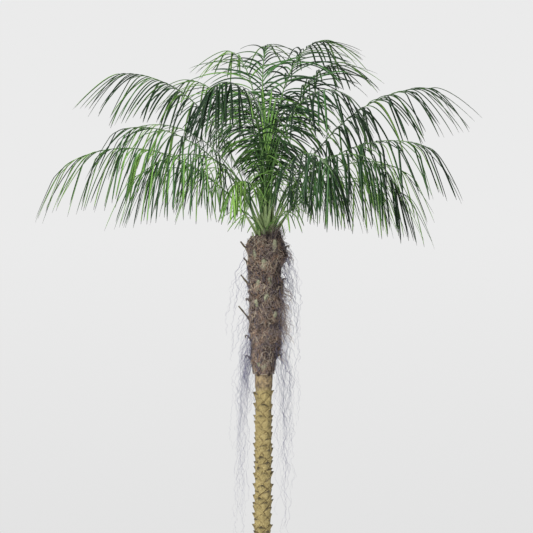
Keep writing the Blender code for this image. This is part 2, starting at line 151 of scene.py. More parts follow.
# %% Directions
UP = np.array([0.0, 0.0, 1.0])


def unit(vectors):
    return vectors / np.linalg.norm(vectors, axis=-1, keepdims=True)


def sideways_of(level):
    """The level directions at a right angle to some level ones."""
    return np.stack([-level[..., 1], level[..., 0], 0 * level[..., 0]], -1)


def turned(vectors, old, new):
    """vectors, turned as the shortest turn takes the unit vectors old to new."""
    axis = np.cross(old, new)
    cosine = (old * new).sum(-1, keepdims=True)
    across = np.cross(axis, vectors)
    return vectors + across + np.cross(axis, across) / (1 + cosine)


print("beside +X lies", sideways_of(outward(np.array(0.0))))

# %% [markdown]
# ## Materials
# A material is a small graph of nodes. One helper adds a node, sets its properties and fills its
# sockets, either with a value or with a link from another node, and another turns the hex colours that
# painters use into the linear ones that a renderer works in.


# %% Colour and nodes
def linear(colour):
    """An sRGB hex colour as linear red, green, blue and alpha."""
    shares = [int(colour[i : i + 2], 16) / 255 for i in (0, 2, 4)]
    return (*[s / 12.92 if s <= 0.04045 else ((s + 0.055) / 1.055) ** 2.4 for s in shares], 1.0)


def add_node(tree, kind, sockets, **settings):
    """Adds a node. Each socket, by name or number, takes a value or a link from another node's output."""
    made = tree.nodes.new(kind)
    for setting, value in settings.items():
        setattr(made, setting, value)
    for socket, value in sockets.items():
        if isinstance(value, bpy.types.NodeSocket):
            tree.links.new(value, made.inputs[socket])
        else:
            made.inputs[socket].default_value = value
    return made


def new_material(name, roughness, ior, sheen=0.5):
    """A material, its tree and shader, and the object's own coordinates in metres."""
    material = bpy.data.materials.new(name)
    material.use_nodes = True
    tree = material.node_tree
    shader = tree.nodes["Principled BSDF"]
    shader.inputs["Roughness"].default_value = roughness
    shader.inputs["IOR"].default_value = ior
    shader.inputs["Specular IOR Level"].default_value = sheen
    place = add_node(tree, "ShaderNodeTexCoord", {}).outputs["Object"]
    return material, tree, shader, place


MILLIMETRE = 0.001


def per_size(millimetres):
    """A texture's scale for a pattern of this size, on coordinates in metres."""
    return 1 / (millimetres * MILLIMETRE)


def finish_shader(tree, shader, colour, height, strength, millimetres):
    """Gives a shader its colour, and a relief from the height of a pattern: how strong and how deep."""
    tree.links.new(colour, shader.inputs["Base Color"])
    deep = {"Height": height, "Strength": strength, "Distance": millimetres * MILLIMETRE}
    relief = add_node(tree, "ShaderNodeBump", deep)
    tree.links.new(relief.outputs["Normal"], shader.inputs["Normal"])


print("a pattern of 4 mm has a scale of", per_size(4))


# %% [markdown]
# ### Leaf blade
# A palm leaflet is a stiff strip of tissue under a cuticle of wax. The wax gives the upper side a soft
# gloss, and the thick palisade cells under it a deep, slightly blue green. The lower side is paler,
# yellower and duller, and its greens are painted lighter still for light that comes through the blade.
# Each frond has its own age and tone, so there are four greens for each side, dealt out later, each
# with a faint mottle.


# %% Leaf finishes
def leaf_finish(name, colour, roughness):
    """Waxy leaf tissue: one green, mottled by a fifth, with a fine grain of veins in its relief."""
    material, tree, shader, place = new_material(name, roughness, 1.45, 0.2)
    mottle = add_node(tree, "ShaderNodeTexNoise", {"Vector": place, "Scale": per_size(60), "Detail": 3.0})
    dark, light = ((*[min(1.0, c * share) for c in linear(colour)[:3]], 1.0) for share in (0.80, 1.22))
    blend = add_node(tree, "ShaderNodeMix", {0: mottle.outputs["Fac"], 6: dark, 7: light}, data_type="RGBA")
    veins = add_node(tree, "ShaderNodeTexNoise", {"Vector": place, "Scale": per_size(3), "Detail": 2.0})
    finish_shader(tree, shader, blend.outputs[2], veins.outputs["Fac"], 0.25, 0.3)
    return material


UPPER_GREENS = ("112312", "20391F", "37572E", "567A38")  # from the darkest frond to the lightest
# The lower side's own paler greens, painted lighter still for light that comes through the blade.
LOWER_GREENS = ("243E1E", "456730", "658A44", "759A4A")
upper_leaf = [leaf_finish(f"waxed upper leaf {n}", c, 0.42) for n, c in enumerate(UPPER_GREENS)]
lower_leaf = [leaf_finish(f"matt lower leaf {n}", c, 0.55) for n, c in enumerate(LOWER_GREENS)]
dry_tip = leaf_finish("dried leaf tip", "6A6C68", 0.7)
stalk_green = leaf_finish("green leaf stalk", "4E6A3C", 0.45)
stalk_pale = leaf_finish("pale leaf sheath", "7A8C5E", 0.5)
LEAF_FINISHES = [*upper_leaf, *lower_leaf, dry_tip]
TONES = len(UPPER_GREENS)
DRY = 2 * TONES  # the place of the dried tip in that list
print(len(LEAF_FINISHES), "leaf finishes")

# %% [markdown]
# ## Ribs
# A frond's rib is an arc whose slope runs from steep at the stalk to level or hanging at the tip. It
# could be a curve with a bevel, but the leaflets need to know its direction at every point, so the
# path is walked in small straight steps and kept, with the directions along, sideways and up.

# %% Walk the ribs
RIB_STEPS = 120


def rib_frames(frond, seat):
    """Points along a rib and its directions along, sideways and up at each, stacked as (4, steps, 3)."""
    share = np.linspace(0, 1, RIB_STEPS + 1)
    slope = np.radians(frond.rise + (frond.tip - frond.rise) * share**frond.bend)
    level = outward(np.radians(frond.azimuth + frond.sway * share**2))
    along = level * np.cos(slope)[:, None] + UP * np.sin(slope)[:, None]
    steps = along[:-1] * (frond.length / RIB_STEPS)
    points = seat + np.concatenate([np.zeros((1, 3)), np.cumsum(steps, axis=0)])
    side = sideways_of(level)
    return np.stack([points, along, side, np.cross(along, side)])


def frames_at(frames, shares):
    """The rib's point and directions at any shares of its length."""
    place = np.clip(shares, 0, 1) * RIB_STEPS
    low = np.minimum(place.astype(int), RIB_STEPS - 1)
    part = (place - low)[:, None]
    return frames[:, low] * (1 - part) + frames[:, low + 1] * part


def seat_crown():
    """Each rib's frames, from seats spread round the heart in three whorls: the steeper the higher."""
    by_rise = sorted(range(len(FRONDS)), key=lambda n: FRONDS[n].rise)
    share = math.ceil(len(FRONDS) / len(WHORL_HEIGHTS))
    crown = {}
    for whorl, lift in enumerate(WHORL_HEIGHTS):
        members = sorted(by_rise[whorl * share : (whorl + 1) * share], key=lambda n: FRONDS[n].azimuth)
        step = 360 / len(members)
        first = sum(FRONDS[n].azimuth - i * step for i, n in enumerate(members)) / len(members)
        height = HEART_HEIGHT + lift
        reach = np.interp(height, CORE_HEIGHTS, CORE_RADII) + RIB_WIDTH[0] * RIB_DEPTH_SHARE / 2
        for i, n in enumerate(members):
            angle = np.radians(first + i * step)
            crown[n] = rib_frames(FRONDS[n], stem_axis(height) + outward(angle) * reach)
    return crown


crown = seat_crown()
print("highest rib tip", round(max(f[0, :, 2].max() for f in crown.values()), 3))

# %% [markdown]
# ### The shape of a stalk and rib
# Near the stem a stalk is broad, flat on top and keeled below, because it was a sheath round the stem
# when it was young. It narrows fast to a rib no thicker than a finger, and ends as thin as a straw.
# Six corners in each ring draw the flat top, the two edges and the round keel.

# %% Skin the ribs
SHEATH_WIDTH = 0.020  # added to the rib's width at its very base
SHEATH_LENGTH = 0.055  # over which that fades
RIB_RINGS = 44
RIB_RING_POWER = 1.3  # rings stand closer by the stalk
RIB_TAPER_POWER = 0.7
PALE_SPANS = 8  # between the first rings, where the sheath is pale
RIB_OUTLINE = ((-1.0, 0.55), (-0.72, -0.45), (0.0, -1.0), (0.72, -0.45), (1.0, 0.55), (0.0, 0.80))


def rib_rings(frond, frames):
    """Rings of six corners along one stalk and rib."""
    share = np.linspace(0, 1, RIB_RINGS) ** RIB_RING_POWER
    point, _, side, up = frames_at(frames, share)
    width = RIB_WIDTH[0] + (RIB_WIDTH[1] - RIB_WIDTH[0]) * share**RIB_TAPER_POWER
    sheath = np.exp(-share * frond.length / SHEATH_LENGTH)
    wide = (width + SHEATH_WIDTH * sheath)[:, None] / 2
    deep = (width * RIB_DEPTH_SHARE)[:, None] / 2
    return np.stack([point + side * wide * x + up * deep * y for x, y in RIB_OUTLINE], 1)


def skin_ribs(name, fronds, all_frames):
    """One piece of the ribs of some fronds."""
    rings = np.stack([rib_rings(frond, frames) for frond, frames in zip(fronds, all_frames)])
    pale = np.repeat(np.arange(RIB_RINGS - 1) < PALE_SPANS, len(RIB_OUTLINE))
    piece = make_piece(name, rings, [stalk_green, stalk_pale], np.tile(pale, len(fronds)), 1)


skin_ribs("frond_ribs", FRONDS, [crown[n] for n in range(len(FRONDS))])

# %% [markdown]
# ### Green sheaths
# The foot of a living stalk clasps the stem, and the next one clasps both. Together they make the pale
# green column that the stalks fan out from. Each sheath here is a broad tongue that lies on the stem's
# tip and narrows as it leaves it, and two stand free: cut last, and still green.

# %% Clasp the heart
SHEATH_COUNT = 15
SHEATH_RINGS = 8
SHEATH_SEED = 13
SHEATH_SHARES = (0.0, 0.3, 0.7, 1.0)
SHEATH_HALF_WIDTHS = (0.020, 0.017, 0.009, 0.0045)
SHEATH_REACH = (0.004, 0.004, 0.009, 0.016)  # off the stem's tip
SHEATH_DEPTH = 0.0035
SHEATH_SIDES = 8
SHEATH_FOOT = 1.968
SHEATH_TALL = (0.09, 0.17)
SHEATH_TURN = (2.4, 0.1)  # radians from one sheath to the next, and by how much that differs
SHEATH_SUNK = 0.9  # share of the tip's radius from which that reach counts
SHEATH_HUG = 0.5  # how far a sheath's edges bend back round the stem, in half widths
FREE_SHEATHS = ((236, 0.062, 2.012), (200, 0.070, 1.998))  # degrees, distance from the axis and top
FREE_FOOT = 1.955
FREE_SLIMNESS = 0.55  # their width as a share of the others'
FREE_LEAN = 0.006  # how much further out their tips are


def sheath_rings(angle, height, reach, width):
    """Rings of one tongue that curves round the stem."""
    level = outward(np.array(angle))
    path = stem_axis(height) + level * reach[:, None]
    turn = np.arange(SHEATH_SIDES) * 2 * math.pi / SHEATH_SIDES
    across = width[:, None] * np.cos(turn)
    hugging = -SHEATH_HUG * width[:, None] * np.cos(turn) ** 2
    over = SHEATH_DEPTH * np.sin(turn) + hugging
    return path[:, None] + sideways_of(level) * across[..., None] + level * over[..., None]


def heart_sheaths(dice):
    """The rings of all sheaths, and the free ones last."""
    share = np.linspace(0, 1, SHEATH_RINGS)
    width = np.interp(share, SHEATH_SHARES, SHEATH_HALF_WIDTHS)
    off_tip = np.interp(share, SHEATH_SHARES, SHEATH_REACH)
    rings = []
    for n in range(SHEATH_COUNT):
        angle = n * SHEATH_TURN[0] + dice.normal(0, SHEATH_TURN[1])
        height = SHEATH_FOOT + dice.uniform(*SHEATH_TALL) * share
        reach = np.interp(height, CORE_HEIGHTS, CORE_RADII) * SHEATH_SUNK + off_tip
        rings.append(sheath_rings(angle, height, reach, width))
    for degrees, distance, top in FREE_SHEATHS:
        height = FREE_FOOT + (top - FREE_FOOT) * share
        reach = distance + FREE_LEAN * share
        rings.append(sheath_rings(math.radians(degrees), height, reach, width * FREE_SLIMNESS))
    return np.stack(rings)


sheaths = make_piece("green_sheaths", heart_sheaths(np.random.default_rng(SHEATH_SEED)), [stalk_pale])

# %% [markdown]
# ## Leaflets
# A leaflet leaves its rib forwards and a little up, folded along its middle like a paper dart, and
# then its own weight takes it over: the further out, the steeper it hangs. Young, steep fronds are
# stiff and old, low ones limp. On old fronds some leaflets have creased under their weight, and hang
# straight down from the crease. The blade is widest at a third of its length and ends in a long point.

# %% Leaflet measures
LEAFLET_PAIRS = 26  # on each metre of a frond
LEAFLET_STEPS = 16
LEAFLET_LENGTH = 0.335
LENGTH_SCATTER = (0.90, 1.04)  # shares of its length that a leaflet may have
LEAFLET_WIDTH = 0.0108
SLIM_BASE = (0.62, 1.0)  # share of that width by the stalk, and from SLIM_SHARE of the leafy rib on
SLIM_SHARE = 0.65
THIN_FROND = 0.75  # and on a thin frond, the least share
LEAFLET_THICKNESS = 0.0010
THINNING = (1.0, 0.4)  # shares of that at the leaflet's foot and tip
FOLD = (0.75, 0.30)  # depth of the fold at the same two places, in half widths
ALONG_RIB = (0.0, 0.10, 0.20, 0.45, 0.77, 1.0)  # shares of the leafy rib, and how long leaflets are there
LENGTHS = (0.38, 0.54, 0.74, 0.99, 1.00, 0.93)
OFF_RIB = (62, 13)  # degrees between a leaflet and its rib, by the stalk and at the tip
OFF_RIB_POWER = 1.7  # how late along the rib that changes
SPREAD = (13, 8)  # degrees by which neighbours differ, at the same two places
UNEVEN = 0.22  # how far a leaflet may stand from its even place, in shares of a gap
LIFT = (24, 2)  # degrees by which it first rises out of the frond's plane, at the same two places
DROOP = 2.3  # how far the tip of a usual leaflet hangs, against its first direction
DROOP_SCATTER = (0.72, 1.28)  # shares of that
MEAN_SLOPE = 67  # of a rib with such leaflets, in degrees
SLOPE_RANGE = 70  # degrees less that double the hang
LIMP_RISE = (58, 78)  # slopes at the stalk of the limpest fronds and of the first stiff ones
SHORT_FROND = (0.35, 0.65)  # leaflet size on a frond without length, and what each metre adds
OLD_GROWTH = 0.12  # share by which the leaflets of sunken fronds are longer
STIFFER_TIP = 0.62  # share by which the last leaflets hang less than the first
SHOULDER = 0.16  # share of a leaflet in which it does most of its bending
SHOULDER_WEIGHT = 0.55  # how much of its hang comes there, and not evenly along it
UPRIGHT_STIFFNESS = 0.46  # share by which leaflets hang less where their rib stands upright
LEVELLING = 0.05  # how much the blade of a limp frond's leaflet turns level at each step
BARE_STALK = (0.34, 0.16)  # share of a rib without leaflets, on a thin frond in the shade and a full one
BARE_FULLNESS = (0.4, 0.8)
CREASED_SHARE = 0.40  # share of an old frond's leaflets with a crease
CREASES = (0.18, 0.42)  # where a leaflet may have it, as shares of its length
CREASE_LENGTH = 0.08
CREASED_HANG = (0.55, 0.6)  # share of the even hang that is left, and what the crease adds
WIDTH_SHARES = (0.0, 0.06, 0.20, 0.35, 0.60, 0.80, 0.93, 1.0)
WIDTHS = (0.50, 0.72, 0.95, 1.00, 0.98, 0.88, 0.64, 0.22)


def hang_of(frond):
    """How much a frond's leaflets hang: those of low, level fronds are limp and of steep ones stiff."""
    mean_slope = frond.rise + (frond.tip - frond.rise) / (frond.bend + 1)
    return 1.0 + (MEAN_SLOPE - mean_slope) / SLOPE_RANGE


def limpness_of(frond):
    """0 for the stiff fronds that rise steeply, 1 for the old ones that have sunk."""
    return min(1.0, max(0.0, (LIMP_RISE[1] - frond.rise) / (LIMP_RISE[1] - LIMP_RISE[0])))


def size_of(frond):
    """Share of the usual leaflet length: short on short fronds, longest on old ones."""
    return min(1.0, SHORT_FROND[0] + SHORT_FROND[1] * frond.length) * (1 + OLD_GROWTH * limpness_of(frond))


def between(ends, t):
    return ends[0] + (ends[1] - ends[0]) * t


print("leaflets of the first frond hang", round(hang_of(FRONDS[0]), 2), "times as far as usual")


# %% Bend the leaflets
def hanging_share(s, limpness, creased, crease_at):
    """How much of its hang each leaflet has at a share of its length."""
    past = np.clip((s - crease_at) / CREASE_LENGTH, 0, 1)
    shoulder = 1 - math.exp(-s / SHOULDER)
    eased = (1 - SHOULDER_WEIGHT * limpness) * s + SHOULDER_WEIGHT * limpness * shoulder
    return np.where(creased, CREASED_HANG[0] * eased + CREASED_HANG[1] * past, eased)


def square_to(vectors, ways):
    """The part of the vectors at a right angle to unit ways, as unit vectors."""
    return unit(vectors - ways * (vectors * ways).sum(-1, keepdims=True))


def turn_blade(front, way, bent, limp):
    """The direction of a blade's front edge, carried along from one way to a bent one and levelled."""
    front = turned(front, way, bent)
    level = unit(np.cross(bent, UP) + 1e-6)
    level *= np.sign((level * front).sum(-1, keepdims=True) + 1e-9)
    levelled = unit(square_to(front, bent) + level * LEVELLING * limp)
    return square_to(levelled, bent)


print("half way out a limp leaflet has", round(float(hanging_share(0.5, 1.0, False, 0.3)), 2), "of its hang")


# %% Grow the leaflets
def leaflet_paths(frond, frames, dice, openness=1.0):
    """Places on the rib, middle lines, front directions and hands of all of a frond's leaflets."""
    pairs = round(LEAFLET_PAIRS * frond.length * frond.fullness)
    places = (np.arange(pairs) + 0.5) / pairs
    t = np.concatenate([places, places]) + dice.uniform(-UNEVEN, UNEVEN, 2 * pairs) / pairs
    t = np.clip(t, 0, 0.998)
    hand = np.repeat([1.0, -1.0], pairs)[:, None]
    bare = np.interp(frond.fullness, BARE_FULLNESS, BARE_STALK) + frond.bare
    point, along, side, up = frames_at(frames, bare + (1 - bare) * t)
    spread = between(SPREAD, t) * openness
    forward = between(OFF_RIB, t**OFF_RIB_POWER) * openness + dice.normal(0, 1, len(t)) * spread
    lift = between(LIFT, t) * openness + dice.normal(0, 1, len(t)) * spread
    forward, lift = np.radians(forward)[:, None], np.radians(lift)[:, None]
    out = side * hand
    start = along * np.cos(forward) + (out * np.cos(lift) + up * np.sin(lift)) * np.sin(forward)
    length = LEAFLET_LENGTH * size_of(frond) * np.interp(t, ALONG_RIB, LENGTHS)
    length = length * dice.uniform(*LENGTH_SCATTER, len(t))
    limpness = 1 - UPRIGHT_STIFFNESS * np.clip(along[:, 2], 0, 1) ** 1.3
    hang = DROOP * hang_of(frond) * limpness * (1 - STIFFER_TIP * t**2) * openness**2
    hang = hang * dice.uniform(*DROOP_SCATTER, len(t))
    limp = limpness_of(frond)
    creased = dice.uniform(0, 1, len(t)) < CREASED_SHARE * limp
    crease_at = dice.uniform(*CREASES, len(t))
    front = unit(np.cross(start, up)) * hand
    way, points, fronts = start, [point + out * RIB_WIDTH[1] / 2], [front]
    for step in range(LEAFLET_STEPS):
        weight = hang * hanging_share((step + 0.5) / LEAFLET_STEPS, limpness, creased, crease_at)
        bent = unit(start - UP * weight[:, None])
        front = turn_blade(front, way, bent, limp)
        way = bent
        points.append(points[-1] + way * (length / LEAFLET_STEPS)[:, None])
        fronts.append(front)
    return t, np.stack(points, 1), np.stack(fronts, 1), hand


print(len(leaflet_paths(FRONDS[0], crown[0], np.random.default_rng(0))[0]), "leaflets on the first frond")


# %% Fold the blades
def leaflet_rings(frond, t, points, fronts, hand):
    """Four corners round a folded blade at each step: back edge, fold above, front edge, fold below."""
    share = np.linspace(0, 1, LEAFLET_STEPS + 1)
    ways = np.concatenate([points[:, 1:] - points[:, :-1], points[:, -1:] - points[:, -2:-1]], 1)
    over = np.cross(fronts, unit(ways)) * hand[:, None]
    slim = between(SLIM_BASE, np.clip(t / SLIM_SHARE, 0, 1)) * np.clip(frond.fullness, THIN_FROND, 1)
    half = slim[:, None, None] * (LEAFLET_WIDTH / 2 * np.interp(share, WIDTH_SHARES, WIDTHS))[:, None]
    fold = half * between(FOLD, share[:, None])
    thick = LEAFLET_THICKNESS * between(THINNING, share[:, None])
    back = points - fronts * half + over * fold
    front = points + fronts * half + over * fold
    return np.stack([back, points + over * thick / 2, front, points - over * thick / 2], 2)


print(4 * LEAFLET_STEPS, "faces along each blade")

# %% [markdown]
# ### Three pieces of leaflets
# The fronds are sorted by how steeply they rise, and about a third at a time is joined into one piece.
# Each frond has its own tone, between a deep, nearly blue green and a grass green. Within a frond,
# single leaflets are a tone lighter or darker, and the short ones by the stalk are the lightest.

# %% Skin the leaflets
LEAF_SEED = 11
LEAF_GROUPS = (("low", 0, 9), ("middle", 9, 18), ("high", 18, 26))
TIP_STEPS = 1  # of a leaflet that have dried
YOUNG_SHARE = 0.25  # of the leafy rib, by the stalk, where leaflets are short and bright
YOUNG_TONE = 0.9  # how much lighter the very first of them are
TONE_SPREAD = (0.9, 1.35)  # tones by which leaflets of one frond differ, on the darkest and the others
AGEING_TONE = 1.5  # from this tone on they differ fully
BRIGHT_FROM = 2.4  # tone above which a leaflet may be as bright above as below


def skin_leaflets(name, fronds, all_frames, dice, openness=1.0):
    """One piece of all the leaflets of some fronds."""
    rings, finish = [], []
    for frond, frames in zip(fronds, all_frames):
        t, points, fronts, hand = leaflet_paths(frond, frames, dice, openness)
        rings.append(leaflet_rings(frond, t, points, fronts, hand))
        tone = frond.tone + YOUNG_TONE * np.clip(1 - t / YOUNG_SHARE, 0, 1)
        lightest = np.where(tone > BRIGHT_FROM, TONES, TONES - 1)
        spread = np.interp(frond.tone, (0, AGEING_TONE), TONE_SPREAD)
        tone = np.clip(np.round(tone + dice.normal(0, spread, len(points))), 0, lightest).astype(int)
        wall = np.empty((len(points), LEAFLET_STEPS, 4), int)
        wall[:, :, :2] = np.where(tone == TONES, 2 * TONES - 1, tone)[:, None, None]
        wall[:, :, 2:] = TONES + np.minimum(tone, TONES - 1)[:, None, None]
        wall[:, LEAFLET_STEPS - TIP_STEPS :] = DRY
        finish.append(wall)
    finish = np.concatenate(finish).reshape(-1)
    piece = make_piece(name, np.concatenate(rings), LEAF_FINISHES, finish, DRY)
    return piece


leaf_dice = np.random.default_rng(LEAF_SEED)
steepness = sorted(range(len(FRONDS)), key=lambda n: FRONDS[n].rise)
for word, begin, end in LEAF_GROUPS:
    members = steepness[begin:end]
    chosen = [FRONDS[n] for n in members], [crown[n] for n in members]
    leaflets = skin_leaflets(f"leaflets_{word}", *chosen, leaf_dice)
    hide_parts(*(f"frond_{n + 1:02d}_{part}" for n in members for part in ("rise", "arch")))

# %% [markdown]
# ### Spear leaves and late fronds
# The youngest fronds stand upright in the middle, with their leaflets still folded along the rib. Low
# on the heart are also a few that stopped growing early: short, bright and thin, close beside the stem.
# Both follow the rule of the others, and the spear leaves are hardly opened.

# %% The small fronds
# Each group: its word, seed, height over the heart, distance from the stem's axis and how far open its
# leaflets are, and then the rows of its fronds.
SMALL_FRONDS = (
    (
        ("spear", 12, 0.03, 0.0, 0.36),
        ((262, 85, 96, 0.56, 1.0, 0, 1.0, 0.9), (60, 87, 84, 0.46, 1.0, 0, 1.0, 0.9)),
    ),
    (
        ("late", 14, 0.01, 0.040, 1.0),
        ((322, 68, 10, 0.20, 1.2, 0, 3.0, 0.8), (214, 68, 10, 0.18, 1.2, 0, 3.0, 0.8)),
    ),
)
for (word, seed, lift, reach, openness), rows in SMALL_FRONDS:
    fronds = [Frond(*row) for row in rows]
    seats = [stem_axis(HEART_HEIGHT + lift) + outward(np.radians(frond.azimuth)) * reach for frond in fronds]
    frames = [rib_frames(frond, seat) for frond, seat in zip(fronds, seats)]
    skin_leaflets(f"{word}_leaflets", fronds, frames, np.random.default_rng(seed), openness)
    skin_ribs(f"{word}_ribs", fronds, frames)

# %% [markdown]
# ## Bark
# The stem is covered in the worn feet of fallen leaves. They stand in staggered columns, so that each
# is a diamond, and a horny point at its upper end still sticks out and up. Separate scales would leave
# gaps between them. One tube of fine quads is pushed out into diamonds instead: the relief is a
# pyramid in each cell of the lattice, and raising its peak as well makes the point overhang.

# %% Lattice and waves
COLUMN_DEGREES = 360 / SCALE_COLUMNS


def lattice(angle, height, bottom, pitch, twist):
    """Where points lie among staggered diamonds: across and up in one (-1 to 1), its row and column."""
    row = (height - bottom) / pitch
    column = (np.degrees(angle) - twist * row) / COLUMN_DEGREES
    rising, falling = (row + column) / 2, (row - column) / 2
    a, b = rising - np.floor(rising) - 0.5, falling - np.floor(falling) - 0.5
    middle_row = np.floor(rising) + np.floor(falling) + 1
    middle_column = (np.floor(rising) - np.floor(falling)) % SCALE_COLUMNS
    return a - b, a + b, middle_row.astype(int), middle_column.astype(int)


def waves(angle, height, dice, count, turns, length):
    """Seeded waves round and along the stem, from about -1 to 1: up to so many turns and this short."""
    total = 0 * (angle + height)
    for _ in range(count):
        around = dice.integers(-turns, turns + 1)
        along = dice.uniform(-1, 1) * 2 * math.pi / length
        total = total + np.sin(around * angle + along * height + dice.uniform(0, 2 * math.pi))
    return total / math.sqrt(count)


def paint(piece, name, values):
    """Gives each corner of a piece a number that its material can read."""
    layer = piece.data.attributes.new(name, "FLOAT", "POINT")
    layer.data.foreach_set("value", np.ravel(values).astype(np.float32))


print("columns of scars stand", COLUMN_DEGREES, "degrees apart")

# %% [markdown]
# ### Weathered bark
# The feet of the leaves are dead, fibrous tissue that weather has bleached to khaki. It is dry and
# dull. The points are harder, like horn, and stay dark brown. The grooves between the feet are
# darkened with painted shade. Each corner of the mesh carries how horny, how deep in a groove and how
# smooth it is, and coats of colour are laid over one another by those numbers.

# %% Bark finish
def bark_finish():
    """Khaki bark with horny points and painted shade in its grooves, and the smooth, stained collar above it.
    """
    material, tree, shader, place = new_material("weathered palm bark", 0.85, 1.45)
    horn, groove, collar = (
        add_node(tree, "ShaderNodeAttribute", {}, attribute_name=name).outputs["Fac"]
        for name in ("horn", "groove", "collar")
    )
    patterns = []
    for size, detail, roughness in ((45, 4.0, 0.5), (18, 5.0, 0.5), (7, 5.0, 0.7)):
        pattern = {"Vector": place, "Scale": per_size(size), "Detail": detail, "Roughness": roughness}
        patterns.append(add_node(tree, "ShaderNodeTexNoise", pattern).outputs["Fac"])
    patches, stains, fibres = patterns
    spread = []
    for value, low, high in ((fibres, 0.30, 0.62), (stains, 0.36, 0.60)):
        limits = {"Value": value, "From Min": low, "From Max": high}
        spread.append(add_node(tree, "ShaderNodeMapRange", limits).outputs["Result"])
    split, stained = spread
    # Each coat: its name, how much of the upper colour shows, the lower colour, the upper, and how they mix.
    coats = {}
    for coat, share, under, over, way in (
        ("old", patches, "82754E", "A99B6B", "MIX"),
        ("young", stained, "564A3E", "988769", "MIX"),
        ("bark", collar, "old", "young", "MIX"),
        ("streaks", split, "C0B69C", "FFFFFF", "MIX"),
        ("lit", 1.0, "bark", "streaks", "MULTIPLY"),
        # Painted shade: a dark brown laid over the grooves, by how deep in a groove each corner is.
        ("groove_shade", groove, "lit", "58492B", "MIX"),
        ("horny", horn, "groove_shade", "3F3624", "MIX"),
    ):
        pair = [coats[colour] if colour in coats else linear(colour) for colour in (under, over)]
        sockets = {0: share, 6: pair[0], 7: pair[1]}
        made = add_node(tree, "ShaderNodeMix", sockets, data_type="RGBA", blend_type=way)
        coats[coat] = made.outputs[2]
    finish_shader(tree, shader, coats["horny"], fibres, 0.6, 0.8)
    return material


weathered_bark = bark_finish()
print(weathered_bark.name, "of", len(weathered_bark.node_tree.nodes), "nodes")

# %% Bark measures
BARK_COLUMNS = 128
BARK_ROW = 0.0025  # height of one ring of quads
BARK_TOP = 1.30  # inside the sleeve
SCALES_END = 1.18  # above this the bark is still smooth
COLLAR_FADE = 0.02  # height over which that changes
COLLAR_STEP = 0.005  # how much thicker the smooth stem is
SCALE_STANDS_OUT = 0.0165
BOLDNESS = (0.55, 0.85, 1.0, 1.2)  # shares of that for single ones
BOLD_CHANCES = (0.12, 0.28, 0.35, 0.25)
SCALE_LIFTS = 0.0085  # how far its point rises over its own middle
SCALE_PEAK = 0.45  # how far up its diamond the point stands, of 1
ASKEW = 0.22  # how far the point may stand to one side
RIM_WIDTH = 0.26  # of the dark worn rim that runs down both sides of a point, in diamonds
RIM_REACH = 0.75  # how far to the side it goes
RIM_FADE = 0.3
WORN = (0.35, 1.5)  # how dark a rim is
ONE_SIDED = 1.2  # how much darker on one side
SIDE_SHARPNESS = 2.5
POINT_FROM = 0.70  # height on the pyramid from which the point is dark, of 1
POINT_FADE = 0.2
POINT_DARKNESS = 0.9
STEEPNESS = (2.4, 3)  # powers that sharpen the point, for how far it stands out and how far it rises
FAINTEST = 0.06  # share of the relief left where the bark is smooth
FOOT_WEAR = (0.12, 0.2)  # height below which scars are worn, and the least share left of them
GROOVE_DEPTH = 0.0030
GROOVE_WIDTH = 0.12  # shares of a diamond
BARK_PULL = (math.radians(3.5), 0.0040)  # how far the lattice wanders round and up the stem
GRAIN_HEIGHT = 0.0005
ROOT_BULGE = 0.005
# Waves: how many, how often round the stem at most, and how short along it.
PULL_WAVES = (12, 4, 0.06)
GROOVE_WAVES = (30, 14, 0.03)
GRAIN_WAVES = (30, 16, 0.03)
ROOT_WAVES = (5, 7, 1.0)
RAGGED = (0.8, 0.5)  # usual darkness of a groove, and how far waves change it
RAGGED_LIMITS = (0.15, 1.3)
COLLAR_STAIN = (0.01, 0.03)  # how far below the smooth bark its colour begins, and over how much it fades
BARK_SEED = 3
bark_angles = np.linspace(0, 2 * np.pi, BARK_COLUMNS, endpoint=False)
print(len(np.arange(0, BARK_TOP, BARK_ROW)), "rows of", BARK_COLUMNS, "quads")


# %% The shape of a scar
def stem_radius(height):
    """The stem's radius without its scars: a flare at the foot and the collar's step."""
    flare = np.clip(1 - height / FLARE_HEIGHT, 0, 1)
    collar = np.clip((height - SCALES_END) / COLLAR_FADE, 0, 1)
    return STEM_RADIUS + (FOOT_RADIUS - STEM_RADIUS) * flare**2 + COLLAR_STEP * collar


def pyramid_over(sideways, up):
    """Height of a four-sided pyramid over its diamond, from 0 to 1, with its peak above the middle."""
    above = (1 - sideways - up) / (1 - SCALE_PEAK)
    below = (1 - sideways + up) / (1 + SCALE_PEAK)
    return np.clip(np.minimum(above, below), 0, 1)


def worn_rim(across, sideways, up, worn, one_side):
    """How dark the rim is that runs down both sides of a point, and fades out before the diamond's ends."""
    over_rim = up - SCALE_PEAK * (1 - sideways)
    rim = np.exp(-(((over_rim - RIM_WIDTH / 3) / (RIM_WIDTH / 2)) ** 2))
    rim = rim * np.clip((RIM_REACH - sideways) / RIM_FADE, 0, 1)
    return rim * worn * np.clip(1 + one_side * across * SIDE_SHARPNESS, 0, 1)


print("stem radius at the foot and at 1 m:", stem_radius(0.0), stem_radius(1.0))


